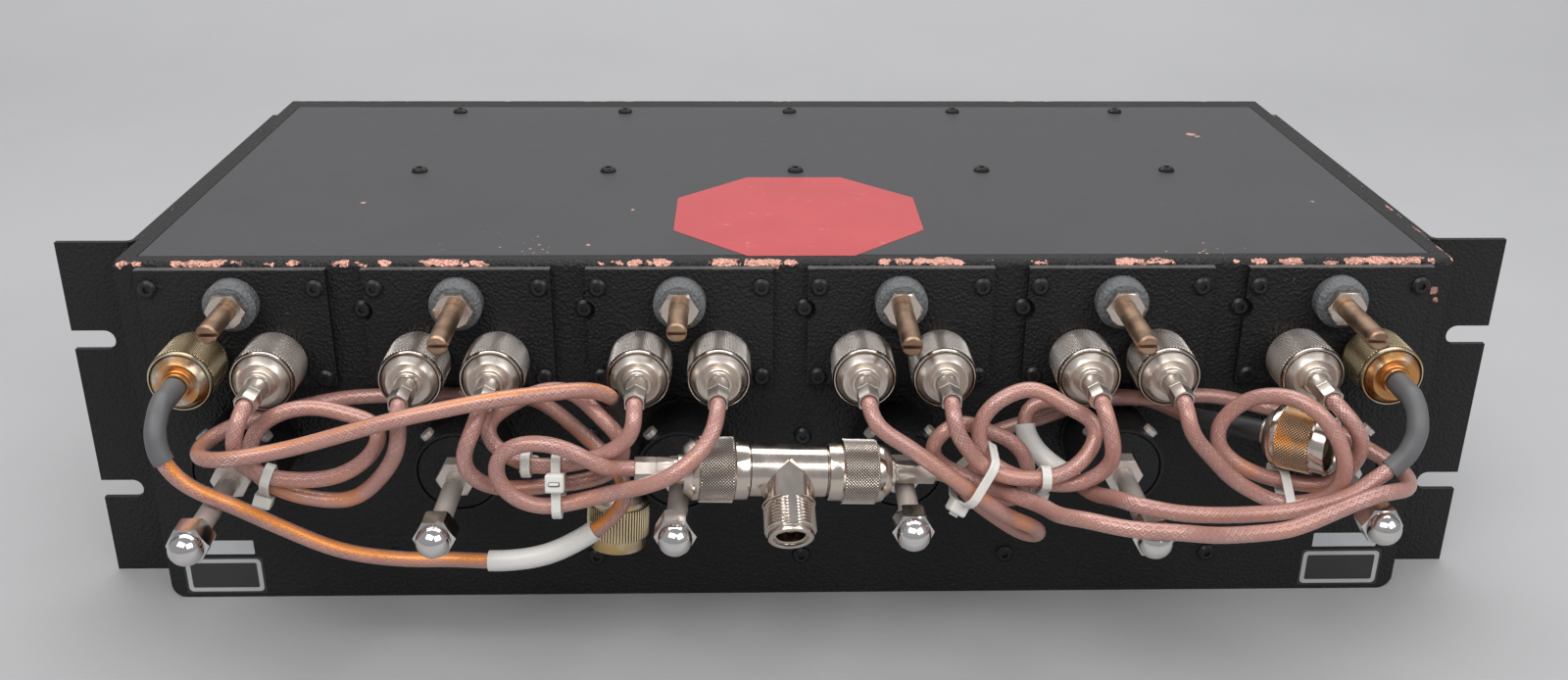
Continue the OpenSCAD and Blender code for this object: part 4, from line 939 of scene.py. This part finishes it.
def crimped(shape, place, columns=36):
    """A ferrule that a die has pressed six-sided, with a short round neck."""
    sections = [(COLLAR_Y - 0.1, 3.3, 0), (COLLAR_Y + 1.0, 3.3, 0), (COLLAR_Y + 1.25, 3.12, 1),
                (COLLAR_Y + 6.2, 3.12, 1), (COLLAR_Y + 6.35, 3.0, 1), (COLLAR_Y + 6.65, 3.0, 1),
                (COLLAR_Y + 6.8, 3.12, 1), (FERRULE_Y - 0.25, 3.12, 1), (FERRULE_Y, 2.95, 1),
                (FERRULE_Y, 2.7, 0), (FERRULE_Y - 3, 2.6, 0)]
    rows = []
    for z, r, six_sided in sections:
        row = []
        for k, (c, s) in enumerate(circle(columns)):
            off_flat = (2 * math.pi * k / columns + math.pi / 6) % (math.pi / 3) - math.pi / 6
            out = r / math.cos(off_flat) if six_sided else r
            row.append(place @ Vector((out * c, out * s, z)))
        rows.append(row)
    shape.grid(rows)


def round_ferrule(shape, place):
    shape.lathe([(2.9, COLLAR_Y - 0.1), (2.95, ROUND_END - 0.2), (2.6, ROUND_END)], place, 32)


def mouth(shape, place, seat=14.3):
    """The mating end of a plug, seen into its nut: the outer contact and the pin."""
    shape.lathe([(NUT_BORE - 1.2, seat), (4.05, seat), (4.05, 8.2), (3.4, 8.0), (3.4, seat), (0.95, seat)],
                place, 48)
    shape.lathe([(0.9, seat), (0.9, 9.0), (0.5, 8.2), (0.02, 8.0)], place, 20, 1)


PIGTAIL_JACKS = [JACKS[0], JACKS[-1]]
nuts, backs, ferrules = Shape(), Shape(), Shape()
for place in JACKS:
    tarnished = place in PIGTAIL_JACKS
    knurled_nut(nuts, place, JACK_NUT, (2, 3) if tarnished else (0, 1))
    plug_back(backs, place, 1 if tarnished else 0)
for place in TEE_ARMS:
    knurled_nut(nuts, place, LONG_NUT)
    plug_back(backs, place)
for place in JACKS[1:-1] + TEE_ARMS:
    crimped(ferrules, place)
for place in PIGTAIL_JACKS:
    round_ferrule(ferrules, place)
nuts.piece("knurled_nuts", [nickel, knurl_nickel, nickel_yellow, knurl_yellow], "nickel", "coupling_nuts")
backs.piece("plug_backs", [nickel_face, nickel_stained], "nickel", "plug_bodies")
ferrules.piece("pressed_ferrules", [nickel_dull], "nickel", "crimp_ferrules")


def free_end(tag, place, looks, straight):
    """The plug at the free end of a pigtail, and the nut that turns on it."""
    nut, plug = Shape(), Shape()
    knurled_nut(nut, place, LONG_NUT, straight=straight)
    nut_piece = nut.piece(tag + "_turning_nut", looks, "tarnished_nickel", tag + "_free_nut", tag + "_nut")
    plug_back(plug, place)
    mouth(plug, place)
    round_ferrule(plug, place)
    return [plug.piece(tag + "_plug_inside", [nickel_dull, brass], "nickel", tag + "_free_plug"), nut_piece]


tx_end = free_end("tx", TX_PLUG, [nickel_yellow, knurl_yellow], True)
rx_end = free_end("rx", RX_PLUG, [nickel, knurl_orange], False)
for made, line, carried in ((tx_cable, tx_line, tx_end + tx_sleeves),
                            (rx_cable, rx_line, rx_end + rx_sleeves)):
    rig.cord(made, exit=line[0], length=line_length(line), diameter=2 * CABLE_R * MM, far_end="connector",
            stiffness="medium", lay="loose", path=[tuple(p) for p in line], with_pieces=carried)


# The tee: a plain tube, and a port of the same radius mitred into it with two wrench flats

TUBE_OUT, TUBE_END, TUBE_STEPS = 8.2, 12.0, 6
PORT_FLAT, PORT_COLUMNS = 7.3, 80
PORT_RING = circle(PORT_COLUMNS)
BARREL_END, THREAD_START, THREAD_END = 12.2, 12.45, PORT_LEN - 1.85
PITCH_24, THREAD_DEPTH, RUN_OUT, RINGS_A_TURN = 25.4 / 24, 0.55, 0.5, 8
LIP_GAP = 0.001


def notched_tube(shape, place):
    """The tube along X, cut back along two slanting lines where the port leaves it."""
    for side in (-1, 1):
        rows = []
        for t in range(TUBE_STEPS + 1):
            row = []
            for c, s in PORT_RING:
                w = TUBE_OUT * s
                x = max(w, 0) + (TUBE_END - 0.3 - max(w, 0)) * t / TUBE_STEPS
                row.append(place @ Vector((side * x, TUBE_OUT * c, w)))
            rows.append(row)
        for r, x in ((TUBE_OUT - 0.3, TUBE_END), (THREAD_R, TUBE_END), (THREAD_R, 20), (4.6, 20)):
            rows.append([place @ Vector((side * x, r * c, r * s)) for c, s in PORT_RING])
        shape.grid(rows)


def port_row(place, radius, height):
    """One ring of the port, at radius(k) and height(x), pressed flat on two sides."""
    row = []
    for k, (c, s) in enumerate(PORT_RING):
        x = radius(k) * c
        v = max(-PORT_FLAT, min(PORT_FLAT, radius(k) * s))
        row.append(place @ Vector((x, v, height(x))))
    return row


def tee_port(shape, place):
    """The port along Z: a barrel with its foot cut to the tube, two flats, a thread and a mouth."""
    def rising(t):
        return lambda x: abs(x) + (BARREL_END - abs(x)) * t / TUBE_STEPS
    barrel = [port_row(place, lambda k: TUBE_OUT, rising(t)) for t in range(TUBE_STEPS + 1)]
    barrel.append(port_row(place, lambda k: TUBE_OUT - 0.25, lambda x: 12.4))
    barrel.append(port_row(place, lambda k: 7.3, lambda x: THREAD_START))
    shape.grid(barrel)
    for side in (-1, 1):
        wide = [k for k, (c, s) in enumerate(PORT_RING) if side * s > PORT_FLAT / TUBE_OUT]
        lip = []
        for k in [wide[0] - 1] + wide + [wide[-1] + 1]:
            x, v = (TUBE_OUT * part for part in PORT_RING[k])
            flat = side * min(PORT_FLAT, abs(v)) - LIP_GAP * side
            lip.append([place @ Vector((x, v, abs(x))), place @ Vector((x, flat, abs(x)))])
        shape.grid(lip, closed=False)
    rings = round((THREAD_END - THREAD_START) / PITCH_24 * RINGS_A_TURN)
    turns = []
    for i in range(rings + 1):
        z = THREAD_START + (THREAD_END - THREAD_START) * i / rings
        ends = min(1, (z - THREAD_START) / RUN_OUT, (THREAD_END - z) / RUN_OUT)

        def crest(k, z=z, ends=ends):
            phase = (z / PITCH_24 + k / PORT_COLUMNS) % 1
            depth = min(1, max(0, 1.5 - 4 * abs(phase - 0.5)))
            return THREAD_R - THREAD_DEPTH * max(depth, 1 - ends)
        turns.append(port_row(place, crest, lambda x, z=z: z))
    shape.grid(turns)
    rim = [(THREAD_R - THREAD_DEPTH, THREAD_END), (7.0, THREAD_END + 0.1), (7.05, PORT_LEN - 0.75),
           (6.9, PORT_LEN - 0.25), (6.5, PORT_LEN), (5.5, PORT_LEN), (5.3, PORT_LEN - 0.25),
           (5.25, PORT_LEN - 1.0), (4.6, PORT_LEN - 1.0), (4.4, PORT_LEN - 1.2), (4.4, PORT_LEN - 9),
           (0.9, PORT_LEN - 9)]
    shape.lathe(rim, place, PORT_COLUMNS)


tee = Shape()
notched_tube(tee, TEE_PORT)
tee_port(tee, TEE_PORT)
tee.piece("mitred_tee", [nickel], "nickel", "tee_body", sharp=28)


# Cable ties: ridged straps drawn round the bundles, each through a square head

TIE_W, TIE_T, HEAD_L, HEAD_W = 3, 0.8, 4, 5.6
RIM_POINTS, STRAP_STEP, RIDGE = 48, 0.55, 0.16
# Middle, tilt, places of the cables in the bundle, radius round each, place of the head and its turn
TIES = (((-162, -40, 67.5), 20, ((-1.9, 3.4), (3.2, -2.3)), 3.3, (3.2, -2.3), -100),
        ((-81.5, -44, 75), 0, ((0.5, 0.3),), 3.4, (0.5, 0.3), -30),
        ((-72, -45, 70), 0, ((-0.3, 5.7), (4.8, -3.7), (-4.3, -6)), 3.2, (-1.7, 1.5), 161),
        ((57, -42, 69), 32, ((-3, 4.9), (5.1, 5.5), (-5.3, -3.1), (5.1, -7.1), (11.6, -6.1)), 4, (0, -5.1),
         -111),
        ((78, -42, 67), 0, ((-1.8, 2.5), (2.8, -1.6)), 3.2, (2.8, -1.6), -60),
        ((155, -40, 62), 0, ((-3.1, -2.5), (3.3, 2.1)), 3.3, (3.3, 2.1), 0))


def rounded_box(x0, y0, x1, y1, r, n=6):
    """The outline of a rectangle, with n steps round each corner."""
    out = []
    corners = ((x1 - r, y1 - r), (x0 + r, y1 - r), (x0 + r, y0 + r), (x1 - r, y0 + r))
    for quarter, (cx, cy) in enumerate(corners):
        for k in range(n + 1):
            a = math.radians(90 * quarter + 90 * k / n)
            out.append((cx + r * math.cos(a), cy + r * math.sin(a)))
    return out


def round_all(points, r):
    """Even points and normals on the outline drawn tightly round circles of radius r."""
    rim = sorted({(x + r * c, y + r * s) for x, y in points for c, s in circle(RIM_POINTS)})

    def half(seq):
        out = []
        for p in seq:
            while len(out) > 1 and ((out[-1][0] - out[-2][0]) * (p[1] - out[-2][1])
                                    - (out[-1][1] - out[-2][1]) * (p[0] - out[-2][0])) <= 1e-9:
                out.pop()
            out.append(p)
        return out[:-1]
    hull = half(rim) + half(rim[::-1])
    total = sum(math.dist(a, b) for a, b in zip(hull, hull[1:] + hull[:1]))
    count = round(total / STRAP_STEP)
    out, run, want = [], 0.0, 0.0
    for a, b in zip(hull, hull[1:] + hull[:1]):
        d = math.dist(a, b)
        while want < run + d - 1e-9 and len(out) < count:
            f = (want - run) / d
            out.append((a[0] + (b[0] - a[0]) * f, a[1] + (b[1] - a[1]) * f))
            want += total / count
        run += d
    normals = []
    for i in range(len(out)):
        (x0, y0), (x1, y1) = out[i - 1], out[(i + 1) % len(out)]
        d = math.hypot(x1 - x0, y1 - y0)
        normals.append(((y1 - y0) / d, -(x1 - x0) / d))
    return out, normals


def tie(shape, middle, tilt, points, r, head, turn):
    """A strap with ridges, its head with a hole, and the strap's end that comes out of it."""
    place = (Matrix.Translation(at(*middle)) @ Matrix.Rotation(math.radians(tilt), 4, "Y")
             @ Matrix(((0, 0, 1, 0), (1, 0, 0, 0), (0, 1, 0, 0), (0, 0, 0, 1))) @ Matrix.Scale(MM, 4))
    half = TIE_W / 2
    section = [(0, -half + 0.1), (0.35, -half), (TIE_T - 0.1, -half + 0.1), (TIE_T, -half + 0.4),
               (TIE_T, -half + 0.8), (TIE_T, half - 0.8), (TIE_T, half - 0.4), (TIE_T - 0.1, half - 0.1),
               (0.35, half), (0, half - 0.1)]
    rows = []
    for i, ((x, y), (nx, ny)) in enumerate(zip(*round_all(points, r))):
        row = []
        for j, (out, across) in enumerate(section):
            lift = out - (RIDGE if j in (4, 5) and i % 2 else 0)
            row.append(place @ Vector((x + nx * lift, y + ny * lift, across)))
        rows.append(row)
    shape.grid(rows + rows[:1])
    on_head = place @ Matrix.Translation((*head, 0)) @ Matrix.Rotation(math.radians(turn), 4, "Z")
    low, w = r + TIE_T / 2, HEAD_W / 2
    top = low + HEAD_L
    box = [(x, rounded_box(-size, -size, size, size, 0.6, 3))
           for x, size in ((low, w), (top - 0.5, w), (top, w - 0.5))]
    eye = rounded_box(-0.6, -1.7, 0.9, 1.7, 0.2, 3)
    rows = [[on_head @ Vector((x, y, z)) for y, z in outline]
            for x, outline in box + [(top, eye), (top - 1.6, eye)]]
    start = shape.grid(rows)
    shape.cap(start, len(eye), True)
    shape.cap(start + 4 * len(eye), len(eye))
    shape.box((top - 1.5, -0.45, -1.4), (top + 0.9, 0.3, 1.4), on_head)


ties = Shape()
for values in TIES:
    tie(ties, *values)
ties.piece("strap_ties", [tie_white], "cable_tie", "cable_ties")


# Sticker, label frames and strips

STICKER_CENTRE, STICKER_FLATS = (3.6, 47.1), 84.8
sticker = Shape()
corner_r = STICKER_FLATS / 2 / math.cos(math.pi / 8)
octagon = [(corner_r * math.cos(a), corner_r * math.sin(a))
           for a in (math.pi / 8 + k * math.pi / 4 for k in range(8))]
on_cover = Matrix.Translation(at(*STICKER_CENTRE, CASE_H)) @ Matrix.Scale(MM, 4)
sticker.plate(octagon, 0.14, on_cover, bevel=0.05)
sticker.piece("bare_sticker", [red], "cover_paint", sharp=20)

ON_FRONT = Matrix.Translation(at(0, 0, 0)) @ Matrix.Rotation(math.radians(90), 4, "X") @ Matrix.Scale(MM, 4)
labels = Shape()
for x0, x1 in ((-209, -183), (182, 209)):
    outer = rounded_box(x0, 2.4, x1, 15.4, 1.6)
    inner = rounded_box(x0 + 1.5, 3.9, x1 - 1.5, 13.9, 0.7)
    labels.plate(rounded_box(x0 - 0.8, 1.6, x1 + 0.8, 16.2, 1.2), 0.10, ON_FRONT, slot=1)
    labels.plate(outer, 0.16, ON_FRONT, hole=inner)
for x0, x1 in ((-205, -184.5), (184.5, 207)):
    labels.plate(rounded_box(x0, 17.4, x1, 22.8, 0.3), 0.12, ON_FRONT, slot=2)
labels.piece("bare_labels", [white_print, label_black, strip_silver], "black_screws", sharp=20)


# Materials of the CAD nodes that stay

def numbered(name):
    return ["%s_%d" % (name, i) for i in range(1, CAVITIES + 1)]


def dress(look, *names):
    for name in names:
        mesh = NODES[name].data
        mesh.materials.clear()
        mesh.materials.append(look)


dress(case_black, "cavity_housing", "left_rack_bracket", "right_rack_bracket")
dress(plate_black, "loop_plates")
dress(boss_black, "resonator_tubes", "boss_plugs")
dress(cover_grey, "top_cover")
dress(screw_black, "plate_screws", "panel_screws", "cover_screws", "bracket_screws")
dress(copper, "cavity_dividers", "contact_collars", "coupling_loops")
dress(cap_grey, "trimmer_bushes")
dress(nickel, "trimmer_locknuts", "panel_jacks")
dress(brass, "jack_contacts", "tee_contacts", *numbered("trimmer_rod"))
dress(bright_steel, "boss_screws", "tuning_locknuts", "jack_nuts", *numbered("tuning_rod"))
dress(nickel_bright, *numbered("acorn_nut"))


# Floor, backdrop and lights

FLOOR_HALF, BACK_Y, BACK_H, BEND_R = 4.0, 1.15, 3.0, 0.5


def make_stage():
    """A floor that bends up into a backdrop."""
    look = Look("floor_grey", (0.40, 0.40, 0.405), 0.6)
    look.link(Base_Color=look.mix(look.noise(6, 4), (0.375, 0.375, 0.38), (0.425, 0.425, 0.43)),
              Normal=look.bump(look.noise(180, 5), 0.12, 0.001))
    profile = [(-FLOOR_HALF, 0.0), (BACK_Y - BEND_R, 0.0)]
    profile += [(BACK_Y - BEND_R + BEND_R * math.sin(a), BEND_R - BEND_R * math.cos(a))
                for a in (math.radians(10 * k) for k in range(1, 10))]
    profile.append((BACK_Y, BACK_H))
    verts = [(x, y, z) for y, z in profile for x in (-FLOOR_HALF, FLOOR_HALF)]
    faces = [(2 * i, 2 * i + 1, 2 * i + 3, 2 * i + 2) for i in range(len(profile) - 1)]
    mesh = bpy.data.meshes.new("floor")
    mesh.from_pydata(verts, [], faces)
    mesh.polygons.foreach_set("use_smooth", [True] * len(faces))
    mesh.materials.append(look.material)
    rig.stage(added("floor", mesh))


def area_light(name, pos, target, size, power, color=(1, 1, 1)):
    data = bpy.data.lights.new(name, "AREA")
    data.shape = "RECTANGLE"
    data.size, data.size_y = size
    data.energy = power
    data.color = color
    light = added(name, data)
    light.location = pos
    light.rotation_euler = (Vector(target) - Vector(pos)).to_track_quat("-Z", "Y").to_euler()


make_stage()
area_light("key", (-0.5, -1.1, 1.5), (0, 0, 0.05), (1.4, 0.9), 20, (1.0, 0.985, 0.97))
area_light("fill", (0.9, -0.9, 1.1), (0, 0, 0.05), (1.2, 0.9), 10)
area_light("top", (0, 0.75, 1.7), (0, 0.1, 0.1), (2.4, 0.8), 22)

world = bpy.data.worlds.new("world")
world.use_nodes = True
world.node_tree.nodes["Background"].inputs[0].default_value = (0.93, 0.95, 1.0, 1)
world.node_tree.nodes["Background"].inputs[1].default_value = 0.42
scene = bpy.context.scene
scene.world = world
scene.view_settings.view_transform = "Standard"
scene.view_settings.look = "None"

json.dump({"cad": cad_box, "visual": [list(corner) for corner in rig.bounds()]}, open("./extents.json", "w"))
